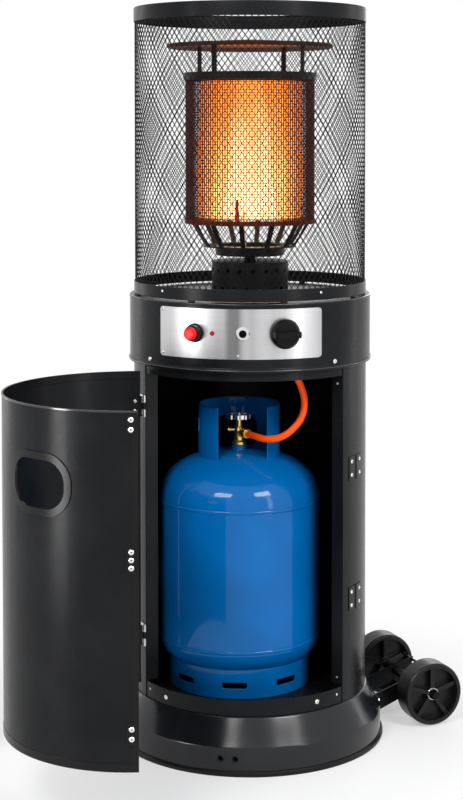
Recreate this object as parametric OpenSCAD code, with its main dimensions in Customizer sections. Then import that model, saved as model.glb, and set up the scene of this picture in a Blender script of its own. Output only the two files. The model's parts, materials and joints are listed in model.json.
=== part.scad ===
/* [Base] */
// Radius of the upright skirt of the base
skirt_r = 251; // [235:1:270]
// Height of the upright skirt
skirt_h = 52; // [35:1:65]
// Height of the base, where the cabinet stands
base_h = 98; // [80:1:120]
// Thickness of the base sheet
base_sheet = 1.5; // [1:0.1:2.5]
// Thickness of the flat plate under the base
base_plate_t = 2; // [1.5:0.1:4]
// Height of the edge strip round the foot of the base
edge_strip_h = 9; // [6:0.5:12]
// How far the edge strip stands out from the skirt
edge_strip_w = 3.8; // [2:0.1:6]

/* [Cabinet] */
// Outer radius of the cabinet shell
cabinet_r = 221.5; // [210:0.5:222]
// Height of the cabinet's top edge above the floor
cabinet_top = 722; // [690:1:740]
// Thickness of the cabinet sheet
sheet = 1.2; // [0.8:0.1:2]
// Half of the opening's angle, from its middle at the front
opening_half = 56; // [50:0.5:60]
// Height of the sill band above the base
sill_h = 30; // [20:1:40]
// Height of the header band under the control drum
header_h = 16; // [10:1:24]
// Height of the bottle floor above the base
floor_rise = 6; // [4:0.5:12]
// Depth of the folded edge beside the opening
jamb_depth = 24; // [15:1:32]

/* [Door] */
// Angle that the door's sheet spans
door_span = 184; // [170:1:190]
// Angle by which the door stands open
door_open = 120; // [60:1:130]
// Thickness of the door sheet
door_sheet = 1.5; // [1:0.1:2]
// Width of the grip hole in the door
grip_w = 122; // [90:1:150]
// Height of the grip hole in the door
grip_h = 84; // [60:1:100]
// Corner radius of the grip hole
grip_corner = 38; // [20:1:41]
// Distance of the grip hole's middle under the door's top edge
grip_drop = 127; // [90:1:170]
// Width of the raised frame round the grip hole
grip_frame = 10; // [5:0.5:16]
// Radius of the hinge knuckles
knuckle_r = 3.5; // [3:0.1:4]
// Radius of the hinge pins
hinge_pin_r = 2; // [1.5:0.1:2.2]
// Height of a hinge
hinge_h = 38; // [30:1:60]

/* [Control drum] */
// How far the control drum stands out past the cabinet
drum_overhang = 7.5; // [4:0.5:14]
// Height of the control drum
drum_h = 124; // [100:1:150]
// Half of the control panel's angle
panel_half = 39.6; // [35:0.2:45]
// Height of the control panel
panel_h = 90; // [70:1:100]
// Thickness of the control panel
panel_t = 1; // [0.6:0.1:2]
// Radius of the gas knob
knob_r = 27; // [20:0.5:32]
// How far the gas knob stands out of its back face
knob_depth = 27; // [20:0.5:34]
// Travel of the gas knob when it is pushed
knob_travel = 4; // [2:0.5:5]
// Radius of the ignition button
button_r = 11.5; // [8:0.5:13]
// Travel of the ignition button
button_travel = 5; // [3:0.5:7]

/* [Guard] */
// Distance of the guard's rings inside the drum's edge
guard_inset = 8; // [5:0.5:14]
// Height of the whole guard, from the deck to its top edge
guard_h = 541; // [480:1:600]
// Height of the guard's lower ring
lower_ring_h = 22; // [15:1:30]
// Height of the guard's top ring
top_ring_h = 27; // [18:1:36]
// Diamonds in one row of the guard mesh
mesh_columns = 24; // [16:1:28]
// Rows of diamonds in the guard mesh
mesh_rows = 12; // [8:1:14]
// Thickness of the guard mesh
mesh_t = 1.6; // [1:0.1:2.5]

/* [Burner] */
// Radius of the round pedestal under the burner
pedestal_r = 73; // [60:1:80]
// Height of the pedestal
pedestal_h = 61; // [45:1:70]
// Radius of the emitter tube
emitter_r = 123; // [110:1:132]
// Height of the emitter tube
emitter_h = 263; // [220:1:300]
// Radius of the round reflector
reflector_r = 158; // [140:1:175]
// Height of the posts that carry the reflector
post_h = 53; // [35:1:65]
// Ribs in the burner's cage
cage_ribs = 12; // [8:1:16]

/* [Gas bottle] */
// Radius of the bottle
bottle_r = 154; // [135:1:160]
// Height of the bottle's straight wall
bottle_wall_h = 260; // [220:1:290]
// Thickness of the bottle's wall
bottle_t = 3; // [2:0.1:4]
// Radius of the bottle's foot ring
foot_r = 135; // [115:1:140]
// Radius of the collar round the valve
collar_r = 78; // [70:1:85]
// Height of the collar's top edge above the straight wall
collar_rise = 180; // [160:1:195]
// Diameter of the gas hose
hose_d = 13; // [10:0.5:14]

/* [Wheels] */
// Radius of a wheel
wheel_r = 60; // [45:1:61]
// Width of a wheel
wheel_w = 44; // [30:1:50]
// Distance between the middles of the two wheels
wheel_track = 205; // [190:1:220]
// Distance of the axle from the heater's middle
axle_reach = 335; // [325:1:350]
// Radius of the axle
axle_r = 5; // [4:0.5:6]

/* [Hidden] */
$fn = 96;
fit = 0.2;
running = 0.05;
tiny = 0.1;

sill_top = base_h + sill_h;
header_bottom = cabinet_top - header_h;
shell_in = cabinet_r - sheet;
hoop_out = shell_in - fit;
hoop_in = hoop_out - sheet;
floor_top = base_h + floor_rise;
floor_r = hoop_in - fit;

rivet_r = 4.3;
rivet_seat = 0.06;
rivet_h = 1.3;
rivet_hole_r = 1.1;

leaf_t = 1.3;
leaf_angle = 6.8;
pin_az = -opening_half + 0.8;
pin_r = cabinet_r + 0.3 + knuckle_r;
frame_leaf_in = pin_r - knuckle_r + 0.3;
door_in = pin_r + fit;
door_out = door_in + door_sheet;
door_start = pin_az + 1.8;
door_end = door_start + door_span;
door_bottom = sill_top - 2;
door_top = header_bottom + 4;
door_hem_h = 14;
door_hem_t = 1.1;
hinge_inset = 78;
hinge_zs = [sill_top + hinge_inset + 9, header_bottom - hinge_inset + 17];
grip_az = pin_az + 139.7;
grip_z = door_top - grip_drop;
grip_lip = 2;
grip_proud = 2;
edge_plate_az = door_end - 2.9;
edge_plate_half = 2.1;
edge_plate_t = 1.3;
edge_plate_zs = [door_bottom + 62, door_bottom + 344, door_top - 22];
edge_plate_hs = [38, 46, 34];
edge_rivet_steps = [[-8, 8], [-13, 0, 13], [-8, 8]];

side_plate_az = opening_half + 11.7;
side_plate_half = 6.6;
side_plate_h = 44;
side_knuckle_r = 1.5;
side_rivet_az = 4.4;
side_plate_zs = [sill_top + 158, header_bottom - 176];

drum_bottom = cabinet_top;
drum_top = drum_bottom + drum_h;
drum_flange_w = 24;
drum_r = cabinet_r + drum_overhang;
drum_in = drum_r - sheet;
bead_out = 2;
bead_h = 8;
drum_flange_in = drum_r - drum_flange_w;
panel_in = drum_r + fit;
panel_out = panel_in + panel_t;
panel_corner = 6;
control_z = drum_bottom + 71;
panel_bottom = control_z - panel_h / 2 - 1;
panel_top = panel_bottom + panel_h;
knob_az = 20.8;
button_az = -20;
lamp_az = -11.7;
socket_az = 2.2;
stem_r = 4;
stem_hole_r = stem_r + 1.5;
knob_gap = 5;
knob_back = panel_out + knob_gap;
button_collar_r = button_r + 3.5;
button_neck_r = button_r + 2;
button_collar_out = 15;
button_proud = 9;
lamp_r = 3;
socket_r = 12.5;
socket_hole_r = 7;
socket_neck_r = 8.6;

valve_back = 158;
valve_front = 200;
valve_w = 40;
valve_h = 46;
supply_z = control_z + 8;
supply_r = 4;

deck_t = 1.2;
flange_t = 1.2;
deck_top = drum_top - flange_t - fit;
guard_foot = 3;
guard_r = drum_r - guard_inset;
guard_in = guard_r - 1.5;
guard_bottom = drum_top + guard_foot;
guard_top = drum_top + guard_h;
mesh_out = guard_in - fit;
mesh_bottom = guard_bottom + 8;
mesh_top = guard_top - 12;
strand = 3;

tube_r = 11;
pedestal_top = drum_top + pedestal_h;
neck_bottom = pedestal_top + 11;
neck_top = neck_bottom + 16;
neck_r = 66;
cage_bottom_r = 88;
cage_h = 42;
cage_top = neck_top + 3 + cage_h;
hoop_h = 8;
emitter_bottom = cage_top + hoop_h + fit;
emitter_top = emitter_bottom + emitter_h;
collar_h = 14;
post_bottom = emitter_top + fit + collar_h + fit;
post_top = post_bottom + post_h;
post_az = -28.6;
post_mid_r = emitter_r - 5;

bottle_x = -20;
bottle_y = -10;
lower_seam = floor_top + 91;
upper_seam = lower_seam + bottle_wall_h;
lower_dome = 75;
upper_dome = 90;
neck_boss_r = 14;
neck_bore_r = 10;
bottle_neck_top = upper_seam + upper_dome + 11;
outlet_z = bottle_neck_top + 23;
spindle_r = 3;
wheel_top_z = bottle_neck_top + 58;
collar_t = 2.4;
collar_top = upper_seam + collar_rise;
collar_open = 37;
collar_az = 12;
foot_t = 3;

outlet_dir = [0.6, -0.8];
outlet_len = 35;
hose_route = [
    [1, -38, 579], [13, -54, 579], [26, -69, 578], [41, -81, 578], [58, -88, 581],
    [76, -90, 589], [91, -88, 602], [103, -84, 618], [109, -82, 638], [109, -84, 658],
    [105, -92, 677], [99, -104, 694], [92, -115, 709], [86, -125, 721],
    [80, -137, 733], [74, -149, 745]
];
hose_steps = 3;
hose_sides = 12;
inlet_dir = [-1 / 3, -2 / 3, 2 / 3];
inlet_len = 46;

wheel_az = 117.4;
axle_z = wheel_r + 2;
sleeve_r = axle_r + 4;
arm_x = 40;
arm_t = 4;
wheel_gap = 1.5;
sleeve_half = wheel_track / 2 - wheel_w / 2 - wheel_gap;
cap_len = 5;
axle_half = wheel_track / 2 + wheel_w / 2 + wheel_gap + cap_len - 2;
bracket_in = skirt_r + fit;
bracket_t = 3;
bracket_half = 14;

// A full ring of rectangular section
module ring(r_in, r_out, z0, z1) {
    rotate_extrude() translate([r_in, z0]) square([r_out - r_in, z1 - z0]);
}

// A curved wall; angles are counted from the front towards the right
module arc_wall(r_in, r_out, z0, z1, a0, a1) {
    rotate([0, 0, a0 - 90]) rotate_extrude(angle = a1 - a0)
        translate([r_in, z0]) square([r_out - r_in, z1 - z0]);
}

// Puts a piece at an angle, a radius and a height, with its own +Z pointing outwards
module at_side(az, r, z) {
    rotate([0, 0, az]) translate([0, -r, z]) rotate([90, 0, 0]) children();
}

// A bar with four round corners, along +Z
module rounded_bar(w, h, corner, len) {
    translate([-w / 2 + corner, -h / 2, 0]) cube([w - 2 * corner, h, len]);
    translate([-w / 2, -h / 2 + corner, 0]) cube([w, h - 2 * corner, len]);
    for (x = [-1, 1], y = [-1, 1])
        translate([x * (w / 2 - corner), y * (h / 2 - corner), 0]) cylinder(r = corner, h = len);
}

// A round bar between two points
module rod(p, q, r) {
    d = q - p;
    len = norm(d);
    translate(p) rotate([0, acos(d[2] / len), atan2(d[1], d[0])]) cylinder(r = r, h = len);
}

// A tubular rivet's head, standing on the plane z = 0
module rivet_head(r = rivet_r, h = rivet_h) {
    rotate_extrude() polygon([
        [rivet_hole_r, 0], [r, 0], [r, 0.3 * h], [0.8 * r, 0.8 * h], [0.5 * r, h],
        [rivet_hole_r + 0.2, h], [rivet_hole_r, 0.6 * h]
    ]);
}

// A pan-head screw with a cross recess, standing on the plane z = 0
module screw_head(r, h) {
    difference() {
        rotate_extrude() polygon([[0, 0], [r, 0], [r, 0.4 * h], [0.7 * r, h], [0, h]]);
        for (a = [0, 90]) rotate([0, 0, a])
            translate([-0.55 * r, -0.12 * r, 0.5 * h]) cube([1.1 * r, 0.24 * r, h]);
    }
}

// Turns a piece with the door about its hinge, from shut to its stored open place
module with_door() {
    rotate([0, 0, pin_az]) translate([0, -pin_r, 0]) rotate([0, 0, -door_open])
        translate([0, pin_r, 0]) rotate([0, 0, -pin_az]) children();
}

// Half of the outline of a round end; rise is +1 for the top and -1 for the bottom
function dome(r, h, z, rise) = [for (a = [0:6:90]) [r * cos(a), z + rise * h * sin(a)]];

module bottle_outside(grow = 0) {
    rotate_extrude() polygon(concat(
        dome(bottle_r + grow, lower_dome + grow, lower_seam, -1),
        [for (i = [15:-1:0]) dome(bottle_r + grow, upper_dome + grow, upper_seam, 1)[i]]
    ));
}

module at_bottle() {
    translate([bottle_x, bottle_y, 0]) children();
}

module base_plate() {
    color("#26282b") cylinder(r = skirt_r, h = base_plate_t);
}

module base_trim() {
    color("#17181a") rotate_extrude() polygon([
        [skirt_r + fit, 0], [skirt_r + edge_strip_w, 0],
        [skirt_r + edge_strip_w + 1, 0.25 * edge_strip_h],
        [skirt_r + edge_strip_w + 1, 0.7 * edge_strip_h],
        [skirt_r + 0.5 * edge_strip_w, edge_strip_h], [skirt_r + fit, edge_strip_h]
    ]);
}

module base_skirt() {
    base_flange_in = floor_r - 5;
    step_r = cabinet_r + 2;
    hole_r = 3.6;
    color("#2b2d31") difference() {
        rotate_extrude() polygon([
            [skirt_r, base_plate_t + fit], [skirt_r, skirt_h - 3], [skirt_r - 2, skirt_h],
            [step_r + 2, base_h - 3], [step_r, base_h],
            [base_flange_in, base_h], [base_flange_in, base_h - base_sheet],
            [step_r - 1, base_h - base_sheet], [step_r + 1 - base_sheet, base_h - 4],
            [skirt_r - 2.5 - base_sheet, skirt_h - 1], [skirt_r - base_sheet, skirt_h - 4],
            [skirt_r - base_sheet, base_plate_t + fit]
        ]);
        for (a = [-6.8, -0.6]) at_side(a, skirt_r - 10, 0.6 * skirt_h) cylinder(r = hole_r, h = 20);
    }
}

module floor_plate() {
    color("#1c1d1f") rotate_extrude() polygon([
        [0, floor_top - sheet], [floor_r - sheet, floor_top - sheet], [floor_r - sheet, base_h],
        [floor_r, base_h], [floor_r, floor_top], [floor_r - 8, floor_top],
        [floor_r - 10, floor_top + 1.5], [floor_r - 14, floor_top + 1.5], [floor_r - 16, floor_top],
        [0, floor_top]
    ]);
}

module lower_hoop() {
    color("#2b2d31") ring(hoop_in, hoop_out, base_h, sill_top);
}

module upper_hoop() {
    color("#2b2d31") ring(hoop_in, hoop_out, header_bottom, cabinet_top);
}

module cabinet_shell() {
    vent_w = 70;
    vent_h = 5;
    vent_step = 14;
    color("#2e3034") difference() {
        arc_wall(shell_in, cabinet_r, base_h, cabinet_top, opening_half, 360 - opening_half);
        for (a = [166, 194], i = [0:4]) at_side(a, cabinet_r - 8, sill_top + 60 + i * vent_step)
            rounded_bar(vent_w, vent_h, vent_h / 2 - tiny, 20);
    }
}

// Folded post beside the opening; side is 1 on the right and -1 on the left
module jamb(side) {
    leg_angle = 8;
    a0 = side > 0 ? opening_half : -opening_half - leg_angle;
    a1 = side > 0 ? opening_half + leg_angle : -opening_half;
    z0 = sill_top + fit;
    z1 = header_bottom - fit;
    color("#35373b") {
        arc_wall(hoop_in, hoop_out, z0, z1, a0, a1);
        rotate([0, 0, side * opening_half])
            translate([side > 0 ? 0 : -sheet, -hoop_out + tiny, z0]) cube([sheet, jamb_depth, z1 - z0]);
    }
}

module left_jamb() {
    jamb(-1);
}

module right_jamb() {
    jamb(1);
}

module side_plates() {
    leaf_in = cabinet_r + tiny;
    color("#1d1e20") for (z = side_plate_zs) {
        arc_wall(leaf_in, leaf_in + leaf_t, z - side_plate_h / 2, z + side_plate_h / 2,
            side_plate_az - side_plate_half, side_plate_az + side_plate_half);
        rotate([0, 0, side_plate_az]) translate([0, -(leaf_in + side_knuckle_r), z - side_plate_h / 2])
            cylinder(r = side_knuckle_r, h = side_plate_h);
    }
}

// The frame's knuckles stand above and below the door's middle knuckle
module at_pin(z) {
    rotate([0, 0, pin_az]) translate([0, -pin_r, z]) children();
}

module frame_hinge_leaves() {
    third = hinge_h / 3;
    leaf_in = frame_leaf_in;
    color("#232427") for (z = hinge_zs) difference() {
        union() {
            arc_wall(leaf_in, leaf_in + leaf_t, z - hinge_h / 2, z + hinge_h / 2,
                pin_az - leaf_angle, pin_az);
            at_pin(z - hinge_h / 2) cylinder(r = knuckle_r, h = hinge_h);
        }
        at_pin(z - third / 2 - fit) cylinder(r = knuckle_r + 0.5, h = third + 2 * fit);
        at_pin(z - hinge_h) cylinder(r = hinge_pin_r + running, h = 2 * hinge_h);
    }
}

module hinge_pins() {
    head_r = hinge_pin_r + 1;
    color("#c9ccd0") for (z = hinge_zs) {
        at_pin(z - hinge_h / 2 - fit) cylinder(r = hinge_pin_r, h = hinge_h + 2 * fit);
        for (s = [-1, 1]) at_pin(z + s * (hinge_h / 2 + fit + 0.5) - 0.5) cylinder(r = head_r, h = 1);
    }
}

module frame_rivets() {
    small_r = 2.2;
    sill_z = base_h + sill_h / 2;
    header_z = cabinet_top - 5;
    color("#d5d7da") {
        for (a = [-39.2, 39.2]) at_side(a, hoop_out, sill_z) rivet_head();
        for (a = [-52, 52]) at_side(a, hoop_out, sill_z + 3) rivet_head(small_r, 1);
        for (a = [-47.8, 47.8]) at_side(a, drum_r, drum_bottom + 14) rivet_head(4.2, 1.8);
        for (z = hinge_zs, dz = [-9, 9])
            at_side(pin_az - leaf_angle / 2 - 0.9, frame_leaf_in + leaf_t, z + dz) rivet_head(3, 1);
        for (z = [sill_top + 14, header_bottom - 16]) rotate([0, 0, opening_half])
            translate([0, -(hoop_out - jamb_depth / 2), z]) rotate([0, -90, 0]) rivet_head(small_r, 1);
        for (z = side_plate_zs, a = [-side_rivet_az, side_rivet_az], dz = [-12.5, 12.5])
            at_side(side_plate_az + a, cabinet_r + tiny + leaf_t, z + dz) rivet_head(3.6, 1.1);
        for (a = [-120, -150, 150, 100], z = [base_h + 12, header_z]) at_side(a, cabinet_r, z)
            rivet_head(small_r + 0.6, 1);
    }
}

module control_holes(clear = 0) {
    at_side(knob_az, drum_r - 20, control_z) cylinder(r = stem_hole_r + clear, h = 40);
    at_side(button_az, drum_r - 20, control_z) cylinder(r = button_neck_r + fit + clear, h = 40);
    at_side(lamp_az, drum_r - 20, control_z) cylinder(r = lamp_r + fit + clear, h = 40);
    at_side(socket_az, drum_r - 20, control_z) cylinder(r = socket_neck_r + fit + clear, h = 40);
}

module control_drum() {
    color("#2d2f33") difference() {
        rotate_extrude() polygon([
            [drum_flange_in, drum_bottom], [drum_r + bead_out - 0.8, drum_bottom],
            [drum_r + bead_out, drum_bottom + 2], [drum_r + bead_out, drum_bottom + bead_h - 2.5],
            [drum_r, drum_bottom + bead_h], [drum_r, drum_top - 6], [drum_r + 0.8, drum_top - 4],
            [drum_r + 0.8, drum_top - 1.5], [drum_r - 0.6, drum_top], [drum_flange_in, drum_top],
            [drum_flange_in, drum_top - flange_t], [drum_in, drum_top - flange_t],
            [drum_in, drum_bottom + flange_t], [drum_flange_in, drum_bottom + flange_t]
        ]);
        control_holes();
    }
}

module control_panel() {
    chord = 2 * panel_out * sin(panel_half);
    color("#c3c6ca") difference() {
        intersection() {
            arc_wall(panel_in, panel_out, panel_bottom - 1, panel_top + 1, -panel_half - 3, panel_half + 3);
            at_side(0, 0, (panel_bottom + panel_top) / 2) rounded_bar(chord, panel_h, panel_corner, 300);
        }
        control_holes();
    }
}

module panel_screws() {
    inset = 6;
    az = panel_half - 1.6;
    color("#9fa3a8") {
        for (a = [-az, az], z = [panel_bottom + inset, panel_top - inset])
            at_side(a, panel_out, z) screw_head(2.6, 1.2);
        at_side(0, panel_out, panel_bottom + inset) screw_head(2.6, 1.2);
    }
}

module igniter_collar() {
    color("#17181a") at_side(button_az, 0, control_z) difference() {
        union() {
            translate([0, 0, panel_out + fit]) rotate_extrude() polygon([
                [0, 0], [button_collar_r + 2, 0], [button_collar_r + 2, 2.5], [button_collar_r, 4],
                [button_collar_r - 0.6, button_collar_out - 1], [button_collar_r - 1.6, button_collar_out],
                [0, button_collar_out]
            ]);
            translate([0, 0, drum_in - 16]) cylinder(r = button_neck_r, h = 20);
            translate([0, 0, drum_in - 6]) cylinder(r = button_collar_r + 2, h = 5);
        }
        translate([0, 0, drum_in - 12]) cylinder(r = button_r + running, h = 60);
    }
}

module igniter_cap() {
    rear = drum_in - 12 + button_travel + 1;
    front = panel_out + fit + button_collar_out + button_proud;
    color("#e0231c") at_side(button_az, rear, control_z) rotate_extrude() polygon([
        [0, 0], [button_r, 0], [button_r, front - rear - 2], [button_r - 1.5, front - rear - 0.4],
        [button_r - 3, front - rear], [0, front - rear]
    ]);
}

module status_lamp() {
    color("#b3202a") at_side(lamp_az, drum_in - 8, control_z) {
        cylinder(r = lamp_r, h = 14);
        translate([0, 0, panel_out + fit - drum_in + 8]) rotate_extrude()
            polygon([[0, 0], [lamp_r + 1.2, 0], [lamp_r + 1.2, 0.6], [lamp_r, 1], [lamp_r - 0.4, 2.2],
                [lamp_r / 2, 3.2], [0, 3.6]]);
    }
}

module sight_socket() {
    color("#b9bcc0") at_side(socket_az, 0, control_z) difference() {
        union() {
            translate([0, 0, panel_out + fit]) rotate_extrude() polygon([
                [0, 0], [socket_r, 0], [socket_r, 1], [socket_r - 1.5, 2.4], [0, 2.4]]);
            translate([0, 0, drum_in - 14]) cylinder(r = socket_neck_r, h = 18);
            translate([0, 0, drum_in - 5]) cylinder(r = socket_r, h = 4);
        }
        translate([0, 0, drum_in - 11]) cylinder(r = socket_hole_r, h = 40);
    }
}

module gas_valve() {
    hose_end = hose_route[len(hose_route) - 1];
    color("#a58a4a") difference() {
        union() {
            rotate([0, 0, knob_az]) translate([-valve_w / 2, -valve_front, control_z - valve_h / 2])
                cube([valve_w, valve_front - valve_back, valve_h]);
            at_side(knob_az, valve_front - 1, control_z) cylinder(r = 10, h = drum_in - valve_front - 2);
            at_side(knob_az, drum_in - 5, control_z) cylinder(r = 14, h = 4);
            rod(hose_end, hose_end + inlet_len * inlet_dir, hose_d / 2);
        }
        at_side(knob_az, valve_back + 10, control_z) cylinder(r = stem_r + running, h = drum_r - valve_back);
    }
}

module valve_stem() {
    color("#b8babd") at_side(knob_az, valve_back + 10 + knob_travel + 2, control_z)
        cylinder(r = stem_r, h = knob_back + 14 - valve_back - 10 - knob_travel - 2);
}

module push_collar() {
    color("#b8babd") at_side(knob_az, knob_back + 1, control_z) difference() {
        cylinder(r = stem_r + 3, h = 3);
        translate([0, 0, -1]) cylinder(r = stem_r + running, h = 6);
    }
}

module knob() {
    grip_half = 5.5;
    top = knob_depth;
    color("#131415") at_side(knob_az, knob_back, control_z) difference() {
        union() {
            rotate_extrude() polygon([
                [0, 0], [knob_r, 0], [knob_r, 5], [knob_r - 1, 7], [knob_r - 2.5, 8],
                [knob_r - 3.5, 10.5], [knob_r - 5, 12], [0, 12]
            ]);
            intersection() {
                rotate_extrude() polygon([
                    [0, 6], [knob_r - 1.5, 6], [knob_r - 2.5, top - 4], [knob_r - 4.5, top - 1],
                    [knob_r - 8, top], [0, top]
                ]);
                union() {
                    translate([-knob_r, -grip_half, 0]) cube([2 * knob_r, 2 * grip_half, top - 2]);
                    translate([-knob_r, -grip_half + 1.5, 0]) cube([2 * knob_r, 2 * grip_half - 3, top]);
                }
            }
        }
        translate([0, 0, -1]) cylinder(r = stem_r + 4.5, h = 7);
        translate([0, 0, -1]) cylinder(r = stem_r + running, h = 16);
        translate([knob_r - 12, -0.9, top - 0.8]) cube([14, 1.8, 4]);
    }
}

module supply_pipe() {
    color("#b87d4b") {
        at_side(knob_az, tube_r + 9, supply_z) cylinder(r = supply_r, h = valve_back - tube_r - 9 - fit);
        at_side(knob_az, valve_back - 9, supply_z) cylinder(r = supply_r + 3, h = 9 - fit);
        difference() {
            translate([0, 0, supply_z - 14]) cylinder(r = tube_r + 10, h = 26);
            translate([0, 0, supply_z]) cylinder(r = tube_r + fit, h = 20);
        }
    }
}

module igniter_box() {
    box_w = 46;
    box_h = 50;
    box_d = 30;
    color("#1b1c1e") rotate([0, 0, button_az])
        translate([-box_w / 2, -(drum_in - 16 - fit), control_z - box_h / 2]) cube([box_w, box_d, box_h]);
}

module tilt_switch() {
    color("#3a3c3f") rotate([0, 0, 60]) translate([-12, -drum_in + fit, drum_bottom + flange_t]) {
        translate([0, 1, 0]) cube([24, 16, 30]);
        translate([8, 5, 30 - tiny]) cube([8, 8, 8]);
    }
}

module deck_plate() {
    color("#8d9094") ring(tube_r + fit, drum_in - fit, deck_top - deck_t, deck_top);
}

module guard_lower_ring() {
    color("#2a2c30") {
        ring(guard_in, guard_r, guard_bottom, guard_bottom + lower_ring_h);
        for (i = [0:7]) arc_wall(guard_in - 5, guard_r, drum_top, guard_bottom + tiny,
            45 * i + 20, 45 * i + 23);
    }
}

module guard_top_ring() {
    color("#2a2c30") rotate_extrude() polygon([
        [guard_in, guard_top - top_ring_h], [guard_r, guard_top - top_ring_h],
        [guard_r, guard_top - 2], [guard_r - 1, guard_top - 0.4], [guard_r - 2, guard_top],
        [guard_r - 5, guard_top], [guard_r - 5, guard_top - 2], [guard_in, guard_top - 2]
    ]);
}

module guard_screws() {
    color("#d5d7da") for (a = [-41, 41, 139, 221])
        at_side(a, guard_r, guard_bottom + 0.62 * lower_ring_h) rivet_head(2.4, 1.1);
}

// Diamond net wrapped on a cylinder: each hole is cut outwards from the axis
module guard_mesh() {
    cell_h = 2 * (mesh_top - mesh_bottom - 2 * strand) / (mesh_rows + 1);
    step = 360 / mesh_columns;
    cell_w = mesh_out * step * PI / 180;
    share = 1 - strand * norm([cell_w, cell_h]) / (cell_w * cell_h);
    half_w = share * cell_w / 2;
    half_h = share * cell_h / 2;
    color("#1b1c1e") difference() {
        ring(mesh_out - mesh_t, mesh_out, mesh_bottom, mesh_top);
        for (j = [0:mesh_rows - 1], i = [0:mesh_columns - 1])
            at_side(step * (i + (j % 2) / 2), mesh_out - 3 * mesh_t, mesh_bottom + strand + (j + 1) * cell_h / 2)
                linear_extrude(6 * mesh_t) polygon([[half_w, 0], [0, half_h], [-half_w, 0], [0, -half_h]]);
    }
}

module burner_pedestal() {
    bottom = drum_top - flange_t;
    color("#141516") difference() {
        union() {
            ring(pedestal_r - 1.5, pedestal_r, bottom, pedestal_top);
            ring(tube_r + fit, pedestal_r - 1, pedestal_top - 1.5, pedestal_top);
        }
        for (i = [0:17]) at_side(20 * i, pedestal_r - 10, bottom + 12) cylinder(r = 4, h = 20);
        for (i = [0:17]) at_side(20 * i + 10, pedestal_r - 10, pedestal_top - 16) cylinder(r = 4, h = 20);
    }
}

module burner_tube() {
    color("#3b3c3e") {
        difference() {
            translate([0, 0, supply_z + fit]) cylinder(r = tube_r, h = neck_bottom - supply_z);
            translate([0, 0, supply_z - 1]) cylinder(r = tube_r - 2, h = neck_bottom - supply_z - 4);
        }
    }
}

module burner_cage() {
    rib_w = 9;
    rib_t = 4;
    top_r = emitter_r - 12;
    color("#1a1b1c") {
        rotate_extrude() polygon([
            [0, neck_bottom + 1], [neck_r - 4, neck_bottom + 1], [neck_r - 2, neck_bottom], [neck_r, neck_bottom + 2],
            [neck_r, neck_top], [cage_bottom_r, neck_top], [cage_bottom_r, neck_top + 3],
            [neck_r - 8, neck_top + 3], [neck_r - 8, neck_bottom + 3], [0, neck_bottom + 3]
        ]);
        for (i = [0:cage_ribs - 1]) rotate([0, 0, i * 360 / cage_ribs - 3])
            translate([-rib_w / 2, 0, 0]) rotate([90, 0, 90]) linear_extrude(rib_w) mirror([1, 0]) polygon([
                [cage_bottom_r - 6, neck_top + 2.5], [cage_bottom_r - 1, neck_top + 2.5],
                [cage_bottom_r + 11, neck_top + 0.5 * cage_h], [top_r + 1, cage_top - 2], [top_r + 1, cage_top],
                [top_r - rib_t, cage_top], [cage_bottom_r + 11 - rib_t, neck_top + 0.52 * cage_h]
            ]);
    }
}

module emitter_hoop() {
    color("#2a1a12") ring(emitter_r - 18, emitter_r + 2, cage_top, cage_top + hoop_h);
}

module emitter() {
    color("#ff9a3c") ring(emitter_r - 1.5, emitter_r, emitter_bottom, emitter_top);
}

module emitter_collar() {
    color("#1a1b1c") {
        ring(emitter_r - 8, emitter_r + 4, emitter_top + fit, emitter_top + fit + collar_h);
    }
}

module reflector_posts() {
    post_w = 10;
    post_t = 3;
    color("#1e1f21") for (i = [0:3]) rotate([0, 0, post_az + 90 * i])
        translate([-post_w / 2, -post_mid_r - post_t / 2, post_bottom]) cube([post_w, post_t, post_h]);
}

module reflector_disc() {
    rise = 9;
    edge_drop = 6;
    thick = 1.6;
    z = post_top + fit;
    color("#3a2a22") rotate_extrude() polygon([
        [0, z + rise], [post_mid_r - 40, z + 0.45 * rise], [post_mid_r - 12, z], [post_mid_r + 6, z],
        [reflector_r - 8, z - edge_drop], [reflector_r - 3, z - edge_drop - 1], [reflector_r, z - edge_drop + 1],
        [reflector_r, z - edge_drop + 5], [reflector_r - 3, z - edge_drop + 7],
        [reflector_r - 8, z - edge_drop + thick + 2], [post_mid_r + 6, z + thick],
        [post_mid_r - 12, z + thick], [post_mid_r - 40, z + thick + 0.45 * rise], [0, z + rise + thick]
    ]);
}

module electrode() {
    color("#c9c4ba") at_side(-3, cage_bottom_r - 10, 0) rotate([-90, 0, 0]) {
        translate([0, 0, neck_top + 3]) cylinder(r = 4, h = 26);
        translate([0, 0, neck_top + 28]) cylinder(r = 2.4, h = cage_h);
    }
}

module bottle() {
    color("#0b57a8") at_bottle() difference() {
        union() {
            bottle_outside();
            for (z = [lower_seam, upper_seam]) ring(bottle_r - 2, bottle_r + 0.7, z - 1.6, z + 1.6);
            translate([0, 0, upper_seam + upper_dome - 4])
                cylinder(r = neck_boss_r, h = bottle_neck_top - upper_seam - upper_dome + 4);
        }
        bottle_outside(-bottle_t);
        translate([0, 0, upper_seam + 20]) cylinder(r = neck_bore_r + running, h = 200);
    }
}

module bottle_foot() {
    slot_w = 46;
    slot_h = 11;
    color("#0b57a8") at_bottle() difference() {
        ring(foot_r - foot_t, foot_r, floor_top, lower_seam - 10);
        bottle_outside(fit);
        for (i = [0:7]) at_side(45 * i + 2, foot_r - 12, floor_top + 25)
            rounded_bar(slot_w, slot_h, 3, 24);
    }
}

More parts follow.
